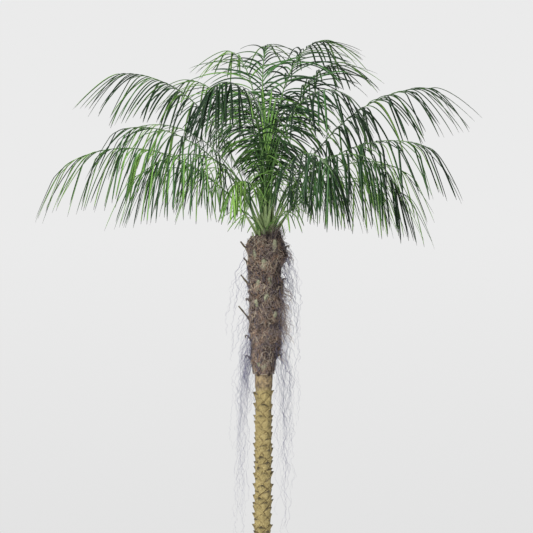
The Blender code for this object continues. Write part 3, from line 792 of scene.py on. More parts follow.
# %% Bark relief
def bark_rings():
    """The tube's corners, and for each how horny, how deep in a groove and how smooth it is."""
    dice = np.random.default_rng(BARK_SEED)
    height = np.arange(0, BARK_TOP, BARK_ROW)[:, None]
    angle = bark_angles[None, :]
    pulled_round = waves(angle, height, dice, *PULL_WAVES) * BARK_PULL[0]
    pulled_up = waves(angle, height, dice, *PULL_WAVES) * BARK_PULL[1]
    lattice_at = (angle + pulled_round, height + pulled_up, FIRST_SCALES, SCALE_PITCH, SCALE_TWIST)
    across, up, row, column = lattice(*lattice_at)
    scales = (row.max() - row.min() + 1, SCALE_COLUMNS)
    cell = (row - row.min(), column)
    bold = dice.choice(BOLDNESS, scales, p=BOLD_CHANCES)[cell]
    askew = dice.uniform(-ASKEW, ASKEW, scales)[cell]
    worn = dice.uniform(*WORN, scales)[cell]
    one_side = dice.uniform(-ONE_SIDED, ONE_SIDED, scales)[cell]
    middle = FIRST_SCALES + row * SCALE_PITCH
    amount = bold * np.clip((SCALES_END - middle) / COLLAR_FADE, FAINTEST, 1)
    amount = amount * np.clip(middle / FOOT_WEAR[0], FOOT_WEAR[1], 1)
    sideways = np.abs(across - askew * (1 - np.abs(up)))
    pyramid = pyramid_over(sideways, up)
    edge = np.clip(1 - np.abs(across) - np.abs(up), 0, 1)
    ragged = np.clip(RAGGED[0] + RAGGED[1] * waves(angle, height, dice, *GROOVE_WAVES), *RAGGED_LIMITS)
    # The groove sinks the bark, and the same number lays painted shade in it.
    groove = np.exp(-((edge / GROOVE_WIDTH) ** 2)) * np.clip(amount, 0, 1) * ragged
    rough = waves(angle, height, dice, *GRAIN_WAVES) * GRAIN_HEIGHT
    foot = np.clip(1 - height / FLARE_HEIGHT, 0, 1)
    roots = waves(angle, 0 * height, dice, *ROOT_WAVES) * ROOT_BULGE * foot
    out = stem_radius(height) + SCALE_STANDS_OUT * amount * pyramid ** STEEPNESS[0]
    out = out - GROOVE_DEPTH * groove + rough + roots
    rings = stem_axis(height[:, 0])[:, None] + outward(angle + 0 * height) * out[..., None]
    lifted = SCALE_LIFTS * amount * pyramid ** STEEPNESS[1]
    rings[..., 2] += np.where(height > 0, lifted, 0)
    rim = worn_rim(across, sideways, up, worn, one_side) * np.clip(amount, 0, 1)
    point = np.clip((pyramid * np.clip(amount, 0, 1.1) - POINT_FROM) / POINT_FADE, 0, 1)
    horn = np.clip(rim + POINT_DARKNESS * point, 0, 1)
    collar = np.clip((height - SCALES_END + COLLAR_STAIN[0]) / COLLAR_STAIN[1], 0, 1) + 0 * angle
    return rings, horn, groove, collar


print("a pyramid is", pyramid_over(0.0, SCALE_PEAK), "high at its peak")


# %% The core in the sleeve
CORE_LOW_HEIGHTS = (1.40, 1.60, 1.80)


def core_rings():
    """Smooth rings from the bark's top up inside the sleeve to the growing tip."""
    heights = np.array([*CORE_LOW_HEIGHTS, *CORE_HEIGHTS[2:]])
    radii = np.interp(heights, CORE_HEIGHTS, CORE_RADII)
    return stem_axis(heights)[:, None] + outward(bark_angles)[None] * radii[:, None, None]


bark_corners, horn, groove, collar = bark_rings()
core = core_rings()
print(len(bark_corners), "rings of bark and", len(core), "of the core")

# %% Skin the stem
bark = make_piece("stem_bark", np.concatenate([bark_corners, core])[None], [weathered_bark])
plain = np.zeros(core.shape[:2])
for name, values in (("horn", horn), ("groove", groove), ("collar", collar)):
    paint(bark, name, np.concatenate([values, plain + (name == "collar")]))
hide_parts("trunk")

# %% [markdown]
# ## The fibre sleeve
# Under the crown the feet of the leaves haven't fallen yet. Each was a sheath of woven fibre, and old
# sheaths lie over one another in a thick mat. It is built in layers as it grew: a lumpy dark mat, then
# thousands of fibres that cross each other on it, then the cut stalks, and last the loose hairs.

# %% Sleeve measures
STALK_PITCH = 0.047  # height from one row of cut stalks to the next
STALK_TWIST = 4.0  # degrees by which each row turns further than its columns
FIRST_STALKS = 1.344
SLEEVE_SEED = 5
# Each row: a height, and how far the mat reaches there, all round and on its +X side, where sheaths sag.
MAT_PROFILE = np.array([
    (1.275, 0.049, 0.049), (1.30, 0.055, 0.054), (1.33, 0.060, 0.060), (1.37, 0.063, 0.078),
    (1.43, 0.066, 0.086), (1.50, 0.070, 0.084), (1.56, 0.072, 0.080), (1.61, 0.073, 0.099),
    (1.65, 0.075, 0.080), (1.71, 0.079, 0.090), (1.77, 0.084, 0.070), (1.82, 0.088, 0.078),
    (1.88, 0.094, 0.114), (1.92, 0.098, 0.088), (1.95, 0.092, 0.086), (1.972, 0.072, 0.070),
])
MAT_HEIGHTS, MAT_RADII, SAGGING_RADII = MAT_PROFILE.T
SHEATH_STANDS_OUT = 0.010
SHEATH_POWER = 1.5  # how pointed a sheath is
SHEATH_MEAN = 0.35  # share of its height that is usual, and counts as part of the profile
SHEATH_PULL = 0.3  # radians by which the lattice wanders round the stem
SHEATH_CLIMB = 0.03  # metres by which it climbs with each of them
SAG_TURN = 0.15  # radians by which the sagging side lies off +X
SAG_POWER = 2.5  # how narrow it is
LUMP = 0.0035  # height of the large lumps
KNOT = 0.0016  # and of the small ones
PULLED_WAVES = (12, 4, 0.12)
LUMP_WAVES = (18, 5, 0.07)
KNOT_WAVES = (30, 16, 0.022)
EVEN_ENDS = ((1.28, 0.05), (1.965, 0.03))  # heights where the mat is even, and over how much that fades
PATCH_WAVES = ((14, 4, 0.10), (20, 9, 0.035))  # large and small patches of colour
SMALL_PATCHES = 0.7  # how strong the small ones are
# Painted shade: the mat's +X side, away from the high lamp, is painted darker.
PAINTED_SHADE_SIDE = 0.55  # how much darker the mat is on its +X side
DARK_BAND = (0.35, 1.75, 0.03)  # how dark a band round it is, its height and half its width
print("the mat reaches", MAT_PROFILE[:, 1:].max(), "m out")


# %% The mat's outside
def sleeve_radius(angle, height):
    """The mat's outside at any angle and height: its profile, the bulge of each leaf sheath, and lumps."""
    dice = np.random.default_rng(SLEEVE_SEED)
    sagging = np.clip(np.cos(angle + SAG_TURN), 0, 1) ** SAG_POWER
    radius = np.interp(height, MAT_HEIGHTS, MAT_RADII) * (1 - sagging)
    radius = radius + np.interp(height, MAT_HEIGHTS, SAGGING_RADII) * sagging
    pulled = waves(angle, height, dice, *PULLED_WAVES) * SHEATH_PULL
    lattice_at = (angle + pulled, height + SHEATH_CLIMB * pulled, FIRST_STALKS, STALK_PITCH, STALK_TWIST)
    across, up, _, _ = lattice(*lattice_at)
    sheath = np.clip(np.minimum((1 - np.abs(across) - up) / 0.5, (1 - np.abs(across) + up) / 1.5), 0, 1)
    lumps = waves(angle, height, dice, *LUMP_WAVES) * LUMP
    lumps = lumps + waves(angle, height, dice, *KNOT_WAVES) * KNOT
    (low, low_fade), (high, high_fade) = EVEN_ENDS
    inside = np.clip((height - low) / low_fade, 0, 1) * np.clip((high - height) / high_fade, 0, 1)
    return radius + (SHEATH_STANDS_OUT * (sheath**SHEATH_POWER - SHEATH_MEAN) + lumps) * inside


def patch_at(angle, height):
    """Which way the colour of the fibre turns here: from -1, dark and purplish, to 1, warm and bleached,
    darker on the +X side as painted shade.
    """
    dice = np.random.default_rng(SLEEVE_SEED + 1)
    dark, middle, half = DARK_BAND
    # Painted shade: darker on the +X side, away from the high lamp, and in a band round the mat.
    shaded = PAINTED_SHADE_SIDE * np.clip(np.cos(angle), 0, 1) + dark * np.exp(-(((height - middle) / half) ** 2))
    large, small = (waves(angle, height, dice, *numbers) for numbers in PATCH_WAVES)
    return large + SMALL_PATCHES * small - shaded


def on_sleeve(angle, height, proud):
    """Points at angles and heights that stand proud of the mat."""
    return stem_axis(height) + outward(angle) * (sleeve_radius(angle, height) + proud)[..., None]


print("the mat's +X side at 1.5 m lies at", on_sleeve(np.array(0.0), np.array(1.5), 0.0).round(3))

# %% [markdown]
# ### Palm fibre
# The fibre is like coir: stiff brown strands of dead tissue, a millimetre thick or less, matt and
# without any gloss. Deep in the mat they are nearly black, and the weather bleaches the outer ones.
# Strands thinner than a pixel would vanish, so those on the mat are drawn as flat bundles.

# %% Fibre finishes
def fibre_finish(name, dark, light, size=4):
    """Dull coir between two browns, with the grain of matted strands, of so many millimetres."""
    material, tree, shader, place = new_material(name, 0.9, 1.45, 0.3)
    pattern = {"Vector": place, "Scale": per_size(size), "Detail": 5.0, "Roughness": 0.7}
    grain = add_node(tree, "ShaderNodeTexNoise", pattern).outputs["Fac"]
    split = add_node(tree, "ShaderNodeMapRange", {"Value": grain, "From Min": 0.3, "From Max": 0.7})
    browns = {0: split.outputs["Result"], 6: linear(dark), 7: linear(light)}
    brown = add_node(tree, "ShaderNodeMix", browns, data_type="RGBA")
    finish_shader(tree, shader, brown.outputs[2], grain, 0.9, 1.0)
    return material


mat_fibre = fibre_finish("deep matted fibre", "17120F", "4A3D35")
STRAND_COLOURS = {
    "black": ("1C1716", "3A3332"),
    "purplish": ("4E464A", "8A7F82"),
    "brown": ("6C5E54", "A29184"),
    "reddish": ("786050", "AF917B"),
    "bleached": ("9A8C7A", "D0C3AE"),
}
strand_fibres = [fibre_finish(f"{shade} fibre", *pair) for shade, pair in STRAND_COLOURS.items()]
brown_fibre = strand_fibres[2]
loose_fibre = fibre_finish("loose grey fibre", "4A4960", "7C7C98")
old_stalk = fibre_finish("old brown stalk", "2E2820", "6A5E48", 10)
cut_stalk = fibre_finish("weathered cut stalk", "3C3B32", "A9AA8E", 3)
print(len(strand_fibres), "strand finishes, and four more for the mat, the hairs and the stalks")

# %% The mat
MAT_COLUMNS = 144
MAT_ROW = 0.004
DOME_HEIGHTS = (1.980, 1.990, 1.997)  # over the mat's rim, in among the green stalks
DOME_RADII = (0.060, 0.047, 0.036)
TUCKED_RADIUS = 0.0475  # of the hem's inside, against the stem
HEM_WAVES = 0.015  # how far the hem waves
HEM_TOP = 1.36  # height at which that has faded
HEM_FADE = 0.08


def mat_rings():
    """The mat's outside, drawn in to the stem at its lower end and closed by a dome at the top."""
    height = np.arange(SLEEVE_BOTTOM, SLEEVE_TOP, MAT_ROW)
    angle = np.linspace(0, 2 * np.pi, MAT_COLUMNS, endpoint=False)
    hem = HEM_WAVES * waves(angle, 0 * angle, np.random.default_rng(SLEEVE_SEED + 2), 10, 6, 1.0)
    outside = on_sleeve(angle[None, :], height[:, None], 0 * angle)
    outside[..., 2] += hem * np.clip((HEM_TOP - height) / HEM_FADE, 0, 1)[:, None]
    tucked = stem_axis(SLEEVE_BOTTOM + 0.01) + outward(angle) * TUCKED_RADIUS
    dome = [stem_axis(z) + outward(angle) * r for z, r in zip(DOME_HEIGHTS, DOME_RADII)]
    return np.concatenate([tucked[None], outside, np.stack(dome)])


mat = make_piece("fibre_mat", mat_rings()[None], [mat_fibre])
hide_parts("fibre_sleeve")

# %% [markdown]
# ### Crossing fibres
# A sheath's fibres run in two layers that cross, like the threads of a coarse cloth laid on the bias.
# Each strand here starts at a random place on the mat, runs up at a slant to one side or the other and
# curls. Its height over the mat changes along it, so that strands pass over and under one another. The
# colour of a strand follows the patch of the mat that it lies on, with painted shade on the +X side.

# %% Fibre paths
STRAND_COUNT = 5000
STRAND_STEPS = 7
STRAND_SIDES = 3
STRAND_LENGTHS = (0.020, 0.075)
STRAND_SLANT = (42, 16)  # degrees from upright, usual and by how much they differ
STRAND_ROUND = 0.095  # radius at which a strand's slant is right
STRAND_CURLS = (0.55, 0.3)  # radians by which a strand turns off its slant along its length, and waves
CROSSING = 0.003  # how far strands rise and sink to pass over one another
STRAND_PROUD = (0.001, 0.007)  # least height over the mat, and how much higher a strand may lie
RAGGED_HEM = 0.012  # how far strands hang below the mat


def strand_paths(dice):
    """Paths over the mat, and the patch value where each begins."""
    each = (STRAND_COUNT, 1)
    share = np.linspace(0, 1, STRAND_STEPS)[None, :]
    length = dice.uniform(*STRAND_LENGTHS, each)
    slant = np.radians(dice.normal(*STRAND_SLANT, each)) * dice.choice([-1, 1], each)
    low = SLEEVE_BOTTOM - RAGGED_HEM
    start = dice.uniform(low - 0.01, SLEEVE_TOP - 0.01, each)
    turning, waving = STRAND_CURLS
    curl = dice.normal(0, turning, each) * share + dice.normal(0, waving, each) * np.sin(share * 7)
    height = np.clip(start + length * share * np.cos(slant + curl), low, SLEEVE_TOP + 0.006)
    first = dice.uniform(0, 2 * np.pi, each)
    angle = first + length * share * np.sin(slant + curl) / STRAND_ROUND
    crossing = CROSSING * np.sin(2 * np.pi * (share * 1.7 + dice.uniform(0, 1, each)))
    proud = STRAND_PROUD[0] + dice.uniform(0, STRAND_PROUD[1], each) + crossing
    return on_sleeve(angle, height, proud), patch_at(first, start)[:, 0]


def tubes_along(paths, radius, flat=1.0):
    """Rings of corners along many paths (tubes, steps, 3), widest across the way out from the stem."""
    ways = unit(np.gradient(paths, axis=1))
    out = outward(np.arctan2(paths[..., 1], paths[..., 0] - stem_axis(paths[..., 2])[..., 0]))
    across = unit(np.cross(ways, out) + 1e-9)
    over = np.cross(across, ways)
    turn = np.arange(STRAND_SIDES) * 2 * np.pi / STRAND_SIDES
    wide, deep = radius[..., None] * np.cos(turn), radius[..., None] * flat * np.sin(turn)
    return paths[:, :, None] + across[:, :, None] * wide[..., None] + over[:, :, None] * deep[..., None]


def lay_tubes(name, rings, finishes, finish_of_tube):
    """One piece of many tubes, each in one finish."""
    _, steps, sides = rings.shape[:3]
    walls = np.repeat(finish_of_tube, (steps - 1) * sides)
    return make_piece(name, rings, finishes, walls, np.tile(finish_of_tube, 2))


print(STRAND_COUNT, "strands of", STRAND_STEPS, "points")

# %% Lay the fibres
STRAND_RADII = (0.0006, 0.0021)
USUAL_TONE = 1.9  # a place in the list of strand finishes
PATCH_TONE = 0.9  # how far a patch moves it
TONE_SCATTER = 1.4
strand_dice = np.random.default_rng(21)
paths, patch = strand_paths(strand_dice)
taper = np.sin(np.pi * np.linspace(0.08, 0.92, STRAND_STEPS)) ** 0.5
widths = strand_dice.uniform(*STRAND_RADII, (STRAND_COUNT, 1)) * taper
# A strand's tone follows its patch, so strands on the +X side carry painted shade.
tones = USUAL_TONE + PATCH_TONE * patch + strand_dice.normal(0, TONE_SCATTER, STRAND_COUNT)
tones = np.clip(np.round(tones), 0, len(strand_fibres) - 1).astype(int)
strands = lay_tubes("crossing_fibres", tubes_along(paths, widths, flat=0.5), strand_fibres, tones)

# %% [markdown]
# ### Broken fibres
# Fibres that have snapped stand off the mat at every angle. There are more of them where old sheaths
# sag, and along the upper rim, where one tuft of long ones stands up. Each is a path that starts in the
# mat and turns a little at every step.

# %% Stand the broken fibres
FUZZ_COUNT = 1000
FUZZ_LENGTHS = (0.010, 0.040)
FUZZ_LIFTS = (-50, 80)  # degrees over level
SAGGING_SHARE = 0.35  # of them, where sheaths sag
RIM_SHARE = 0.16  # of them, from RIM_HEIGHT up
RIM_HEIGHT = 1.94
TUFT_COUNT = 260  # of them, in the tuft
TUFT_AT = 312  # degrees
TUFT_HEIGHTS = (1.950, 1.974)
TUFT_LENGTHS = (0.025, 0.070)
TUFT_LIFTS = (55, 105)
FUZZ_RADII = (0.0005, 0.0012)
FUZZ_TONES = (0.5, 0.25, 0.25)  # chances of the first strand finishes


def fuzz_paths(dice):
    """Paths of all broken fibres, the tuft's first."""
    each = (FUZZ_COUNT, 1)
    share = np.linspace(0, 1, STRAND_STEPS)[None, :]
    sagging = dice.uniform(0, 1, each) < SAGGING_SHARE
    angle = np.where(sagging, dice.normal(-0.1, 0.5, each), dice.uniform(0, 2 * np.pi, each))
    low, high = SLEEVE_BOTTOM + 0.01, SLEEVE_TOP + 0.004
    by_rim = dice.uniform(0, 1, each) < RIM_SHARE
    height = np.where(by_rim, dice.uniform(RIM_HEIGHT, high, each), dice.uniform(low, high, each))
    length = dice.uniform(*FUZZ_LENGTHS, each)
    lift = np.radians(dice.uniform(*FUZZ_LIFTS, each)) + dice.normal(0, 1.2, each) * share
    tuft = np.arange(FUZZ_COUNT)[:, None] < TUFT_COUNT
    angle = np.where(tuft, math.radians(TUFT_AT) + dice.normal(0, 0.42, each), angle)
    height = np.where(tuft, dice.uniform(*TUFT_HEIGHTS, each), height)
    length = np.where(tuft, dice.uniform(*TUFT_LENGTHS, each), length)
    raised = np.radians(dice.uniform(*TUFT_LIFTS, each)) + dice.normal(0, 0.5, each) * share
    lift = np.where(tuft, raised, lift)
    turn = dice.normal(0, 0.8, each) + dice.normal(0, 1.2, each) * share
    step = length / (STRAND_STEPS - 1)
    reach = np.cumsum(step * np.cos(lift) * np.cos(turn), 1)
    aside = np.cumsum(step * np.cos(lift) * np.sin(turn), 1)
    rise = np.cumsum(step * np.sin(lift), 1)
    level = outward(angle + 0 * share)
    foot = on_sleeve(angle, height, -0.002 + 0 * angle)
    path = foot + level * reach[..., None] + sideways_of(level) * aside[..., None]
    return path + UP * rise[..., None]


paths = fuzz_paths(strand_dice)
widths = strand_dice.uniform(*FUZZ_RADII, (FUZZ_COUNT, 1)) * np.linspace(1, 0.4, STRAND_STEPS)
tones = strand_dice.choice(len(FUZZ_TONES), FUZZ_COUNT, p=FUZZ_TONES)
fuzz = lay_tubes("broken_fibres", tubes_along(paths, widths), strand_fibres, tones)

# %% [markdown]
# ### Cut stalks
# When a frond is trimmed, a few centimetres of its stalk are left in the mat. Young stubs are broad,
# pale tongues that lie along it. Older ones have rotted to dark spikes that stand away from the stem,
# and some have broken off to short hooks. The three kinds are one tube of six-sided rings with other
# measures. Those at the front and sides each have a place, and the others stand in staggered columns.

# %% Stub measures
StubKind = namedtuple("StubKind", "out rise wide deep")
STUB_SHARES = (0.0, 0.25, 0.5, 0.75, 1.0)
STUB_KINDS = (
    StubKind(
        (-0.002, 0.001, 0.003, 0.006, 0.004), (-0.034, -0.016, 0.002, 0.015, 0.026),
        (0.006, 0.0115, 0.0135, 0.0120, 0.006), (0.003, 0.0045, 0.005, 0.005, 0.003),
    ),
    StubKind(
        (-0.006, 0.004, 0.014, 0.027, 0.040), (-0.012, 0.004, 0.018, 0.034, 0.050),
        (0.0105, 0.0080, 0.0062, 0.0050, 0.0040), (0.0085, 0.0068, 0.0055, 0.0047, 0.0038),
    ),
    StubKind(
        (-0.006, 0.005, 0.013, 0.019, 0.016), (-0.010, 0.002, 0.010, 0.010, 0.001),
        (0.0080, 0.0060, 0.0046, 0.0038, 0.0028), (0.0070, 0.0055, 0.0044, 0.0036, 0.0026),
    ),
)
TONGUE, SPIKE, HOOK = range(3)
STUB_RINGS = 9
STUB_SIDES = 6
# Stubs that have a place of their own: kind, then direction in degrees, height and length.
PLACED_STUBS = (
    (TONGUE, 296, 1.930, 1.1), (TONGUE, 232, 1.890, 0.9), (TONGUE, 264, 1.834, 1.0),
    (TONGUE, 290, 1.756, 1.2), (TONGUE, 243, 1.728, 0.9), (TONGUE, 274, 1.662, 0.8),
    (TONGUE, 236, 1.630, 0.8), (TONGUE, 310, 1.566, 0.9), (TONGUE, 250, 1.312, 0.7),
    (TONGUE, 270, 1.298, 0.8), (SPIKE, 184, 1.900, 1.0), (SPIKE, 176, 1.826, 0.8),
    (SPIKE, 184, 1.722, 1.1), (HOOK, 178, 1.640, 1.2), (SPIKE, 182, 1.535, 1.6),
    (HOOK, 180, 1.444, 1.7), (HOOK, 176, 1.338, 1.8), (HOOK, 2, 1.915, 1.3),
    (HOOK, 0, 1.745, 1.2), (HOOK, 357, 1.344, 1.7),
)
STALK_ROWS = 13
FAR_SIDE = (20, 162)  # degrees between which stubs stand by rule
KIND_CHANCES = (0.4, 0.35, 0.25)
PLACE_SCATTER = (8, 0.008)  # degrees and metres by which those miss their even places
TOP_GAP = 0.02  # below the sleeve's top, where none of them stands
SCATTERED_LENGTHS = (0.8, 1.2)
STUB_LEAN = 0.006  # how far a tip leans to one side
STUB_UNEVEN = (0.7, 1.25)  # shares of its own width that each corner may have
print(len(PLACED_STUBS), "stubs have a place")


# %% Stand the stubs
def stub_rings(kind, angle, height, long, dice):
    """Uneven rings along one stub, from inside the mat to its tip."""
    share = np.linspace(0, 1, STUB_RINGS)
    out, rise, wide, deep = (np.interp(share, STUB_SHARES, row) for row in STUB_KINDS[kind])
    out, rise = out * long, rise * long
    path = on_sleeve(angle + 0 * share, height + np.clip(rise, -0.04, 0), out)
    path = path + UP * np.maximum(rise, 0)[:, None]
    side = np.array([-math.sin(angle), math.cos(angle), 0.0])
    path = path + np.outer(dice.normal(0, STUB_LEAN) * share**2, side)
    over = np.cross(side, unit(np.gradient(path, axis=0)))
    turn = np.arange(STUB_SIDES) * 2 * math.pi / STUB_SIDES
    uneven = dice.uniform(*STUB_UNEVEN, (STUB_RINGS, STUB_SIDES))
    wide, deep = wide[:, None] * np.cos(turn) * uneven, deep[:, None] * np.sin(turn) * uneven
    return path[:, None] + side * wide[..., None] + over[:, None] * deep[..., None]


def scattered_stubs(dice):
    """Kinds, directions, heights and lengths of the stubs that stand by rule."""
    places = []
    for row in range(STALK_ROWS):
        for column in range(SCALE_COLUMNS // 2):
            degrees = (COLUMN_DEGREES * (row + 2 * column) + dice.normal(0, PLACE_SCATTER[0])) % 360
            height = FIRST_STALKS + row * STALK_PITCH + dice.normal(0, PLACE_SCATTER[1])
            if FAR_SIDE[0] < degrees < FAR_SIDE[1] and height < SLEEVE_TOP - TOP_GAP:
                kind = dice.choice(len(STUB_KINDS), p=KIND_CHANCES)
                places.append((kind, degrees, height, dice.uniform(*SCATTERED_LENGTHS)))
    return places


stub_dice = np.random.default_rng(31)
places = [*PLACED_STUBS, *scattered_stubs(stub_dice)]
rings = [stub_rings(kind, math.radians(turn), *rest, stub_dice) for kind, turn, *rest in places]
finish_of_stub = [int(kind != TONGUE) for kind, *_ in places]
stubs = lay_tubes("cut_stalks", np.stack(rings), [cut_stalk, old_stalk], finish_of_stub)

# %% [markdown]
# ### Loose hairs
# Fibres that have worked loose hang down beside the stem in fine grey curls, most of them at the left
# and the right, where nothing has brushed them off. They leave the mat in tangled locks: the hairs of a
# lock share its way down, and each curls about it. Hairs are drawn about two millimetres thick at most,
# and the brown shreds among them four, because thinner ones would not show.

# %% Curls and locks
HAIR_STEPS = 56
HAIR_ENDS = (1.28, 1.955)  # heights between which hairs leave the mat
CURL_LENGTHS = (0.016, 0.042, 0.12)  # metres of fall for one turn of each curl in a hair
CURL_SIZES = (0.0024, 0.0056, 0.0085)
LOCK_CURL = (0.007, 0.21)  # size and fall of the curl that a lock's hairs share
LOCK_SCATTER = (0.16, 0.03)  # radians and metres by which the hairs of a lock start apart
LENGTH_SHARES = (0.5, 1.2)  # of its lock's length that a hair may have
SWING_SHARES = (0.5, 1.5)  # and of its swing
FREE_RATE = 4  # how soon along its length a hair curls and swings freely
INSIDE = 0.98  # share of the mat's radius where a hair begins


def summed_curls(dice, each, fall):
    """Waves of a few lengths along a falling hair, each hair with its own."""
    total = 0
    for length, size in zip(CURL_LENGTHS, CURL_SIZES):
        wave = length * dice.uniform(0.7, 1.4, each)
        height = size * dice.uniform(0.4, 1.0, each)
        total = total + height * np.sin(2 * np.pi * (fall / wave + dice.uniform(0, 1, each)))
    return total


def hang_locks(dice, hairs, middle, top, length, swing):
    """Paths of all hairs of some locks, each with its direction, upper end, length and swing outwards."""
    of_lock = np.repeat(np.arange(len(middle)), hairs)
    each = (len(of_lock), 1)
    share = np.linspace(0, 1, HAIR_STEPS)[None, :]
    angle = middle[of_lock] + dice.normal(0, LOCK_SCATTER[0], each)
    start = np.clip(top[of_lock] + dice.normal(0, LOCK_SCATTER[1], each), *HAIR_ENDS)
    fall = start - length[of_lock] * dice.uniform(*LENGTH_SHARES, each) * share
    size, turn = LOCK_CURL
    lock_curl = size * np.sin(2 * np.pi * (fall / turn + dice.uniform(0, 1, (len(middle), 1))[of_lock]))
    away = np.minimum(1, FREE_RATE * share)
    sway = (summed_curls(dice, each, fall) + lock_curl) * away
    reach = sleeve_radius(angle, start + 0 * share) * INSIDE
    reach = reach + (summed_curls(dice, each, fall) + lock_curl) * away
    reach = reach + swing[of_lock] * dice.uniform(*SWING_SHARES, each) * (1 - np.exp(-FREE_RATE * share))
    beside = sleeve_radius(angle + 0 * share, np.maximum(fall, SLEEVE_BOTTOM)) * (0.99 + 0.02 * away)
    reach = np.where(fall > SLEEVE_BOTTOM, np.maximum(reach, beside), reach)
    level = outward(angle + 0 * share)
    return stem_axis(fall) + level * reach[..., None] + sideways_of(level) * sway[..., None]


def locks_of(dice, count, directions, chances, spread, tops, lengths, swings):
    """A number of locks at random between the limits given: direction, upper end, length and swing."""
    each = (count, 1)
    middle = np.radians(dice.choice(directions, each, p=chances) + dice.normal(0, spread, each))
    return middle, dice.uniform(*tops, each), dice.uniform(*lengths, each), dice.uniform(*swings, each)


print(HAIR_STEPS, "points on each hair")

# %% Hang the hairs
# Each row: hairs in a lock, thinnest and thickest radius, finish, and then what locks_of asks for.
HAIR_KINDS = (
    (3, 0.00045, 0.001, 0, 38, (180, 0, 90), (0.46, 0.4, 0.14), 24, (1.3, 1.94), (0.08, 0.42), (0.006, 0.08)),
    (3, 0.00045, 0.00105, 0, 16, (0,), (1,), 16, (1.66, 1.95), (0.12, 0.46), (0.02, 0.09)),
    (2, 0.0004, 0.00085, 0, 14, (180, 0), (0.55, 0.45), 20, (1.32, 1.6), (0.5, 1.0), (0.02, 0.09)),
    (5, 0.00045, 0.001, 0, 7, (180,), (1,), 11, (1.36, 1.5), (0.2, 0.36), (0.01, 0.06)),
    (5, 0.0008, 0.0019, 1, 34, (0,), (1,), 20, (1.38, 1.74), (0.03, 0.1), (0.01, 0.046)),
    (2, 0.00035, 0.00075, 0, 9, (180,), (1,), 15, (1.3, 1.58), (0.5, 1.05), (0.035, 0.11)),
    (2, 0.00035, 0.0007, 0, 7, (0,), (1,), 15, (1.34, 1.62), (0.35, 0.95), (0.03, 0.095)),
    (5, 0.0008, 0.0019, 1, 9, (5,), (1,), 14, (1.84, 1.94), (0.03, 0.08), (0.008, 0.034)),
)
hair_dice = np.random.default_rng(41)
paths, widths, tones = [], [], []
for hairs, thin, thick, tone, *limits in HAIR_KINDS:
    paths.append(hang_locks(hair_dice, hairs, *locks_of(hair_dice, *limits)))
    widths.append(hair_dice.uniform(thin, thick, (len(paths[-1]), 1)) * np.linspace(1, 0.5, HAIR_STEPS))
    tones.append(np.full(len(paths[-1]), tone))
paths, widths, tones = map(np.concatenate, (paths, widths, tones))
hairs = lay_tubes("loose_hairs", tubes_along(paths, widths), [loose_fibre, brown_fibre], tones)

# %% [markdown]
# ## Light, floor and camera
# A pale room throws light on the plant from everywhere, and one large soft lamp high on the left gives
# the waxed leaves their glints. Two weaker lamps stand in front and behind. The room is the world's
# background, a shade darker towards the floor. It looks brighter to the camera than it lights.

# %% The room
ROOM_TOP = "EBEBEB"
ROOM_LOW = "E3E3E3"
ROOM_FADE = {"From Min": -0.18, "From Max": 0.02}  # slopes where the low grey turns to the top one
ROOM_FILL = 0.70  # how much of its own brightness the room gives as light

world = bpy.data.worlds.new("pale room")
bpy.context.scene.world = world
world.use_nodes = True
sky = world.node_tree
way = add_node(sky, "ShaderNodeTexCoord", {}).outputs["Generated"]
slope = add_node(sky, "ShaderNodeSeparateXYZ", {"Vector": way}).outputs["Z"]
share = add_node(sky, "ShaderNodeMapRange", {"Value": slope, **ROOM_FADE}).outputs["Result"]
greys = {0: share, 6: linear(ROOM_LOW), 7: linear(ROOM_TOP)}
room = add_node(sky, "ShaderNodeMix", greys, data_type="RGBA")
sky.links.new(room.outputs[2], sky.nodes["Background"].inputs["Color"])
seen = add_node(sky, "ShaderNodeLightPath", {}).outputs["Is Camera Ray"]
strength = add_node(sky, "ShaderNodeMapRange", {"Value": seen, "To Min": ROOM_FILL, "To Max": 1.0})
sky.links.new(strength.outputs["Result"], sky.nodes["Background"].inputs["Strength"])
print("room of", len(sky.nodes), "nodes")

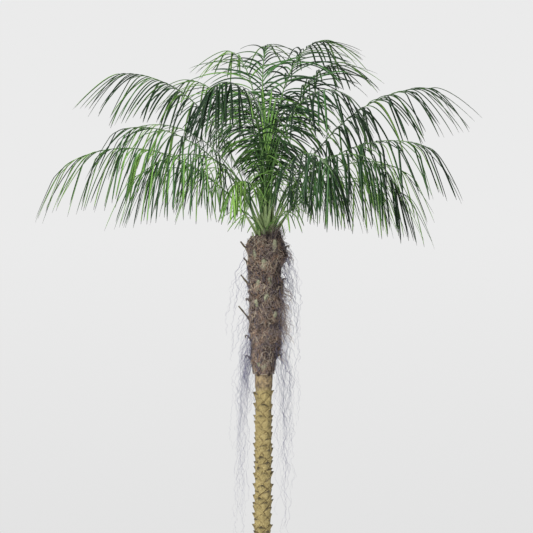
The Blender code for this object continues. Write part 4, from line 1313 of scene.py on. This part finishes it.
# %% Lamps
# Each lamp: its name, place, what it points at, its side in metres and its power in watts.
LAMPS = (
    ("high_soft_lamp", (-2.6, -3.4, 6.2), (0, 0, 2.2), 2.0, 480),
    ("front_soft_lamp", (-1.8, -6.5, 2.2), (0, 0, 1.8), 2.0, 260),
    ("back_soft_lamp", (2.0, 4.2, 5.2), (0, 0, 2.2), 3.0, 180),
)
for name, place, aim, side, watts in LAMPS:
    light = bpy.data.lights.new(name, "AREA")
    light.energy = watts
    light.size = side
    lamp = add_object(name, light)
    lamp.location = place
    lamp.rotation_euler = (Vector(aim) - Vector(place)).to_track_quat("-Z", "Y").to_euler()
print(len(LAMPS), "lamps of", sum(row[-1] for row in LAMPS), "W")

# %% Floor
FLOOR_RADIUS = 2.3
FLOOR_CORNERS = 96
FLOOR_GAP = 0.0005  # below the plant's foot

floor_angles = np.linspace(0, 2 * np.pi, FLOOR_CORNERS, endpoint=False)
floor_rim = outward(floor_angles) * FLOOR_RADIUS - np.array([0, 0, FLOOR_GAP])
floor_mesh = bpy.data.meshes.new("studio_floor")
floor_mesh.from_pydata(floor_rim, [], [list(range(FLOOR_CORNERS))])
floor_finish, _, floor_shader, _ = new_material("painted studio floor", 0.7, 1.45)
floor_shader.inputs["Base Color"].default_value = linear("E6E6E4")
floor_mesh.materials.append(floor_finish)
floor = add_object("studio_floor", floor_mesh)
print("floor of", 2 * FLOOR_RADIUS, "m")

# %% Camera
CAMERA_DISTANCE = 8.0
CAMERA_HEIGHT = 1.82
CAMERA_RIGHT = 0.031
SEEN_WIDTH = 2.7716  # of the plane through the stem
SENSOR = 36.0

lens = bpy.data.cameras.new("studio_camera")
lens.sensor_width = SENSOR
lens.lens = SENSOR * CAMERA_DISTANCE / SEEN_WIDTH
camera = add_object("studio_camera", lens)
camera.location = (CAMERA_RIGHT, -CAMERA_DISTANCE, CAMERA_HEIGHT)
camera.rotation_euler = (math.radians(90), 0, 0)
bpy.context.scene.camera = camera
bpy.context.scene.view_settings.view_transform = "Standard"
print("lens", round(lens.lens, 1), "mm")
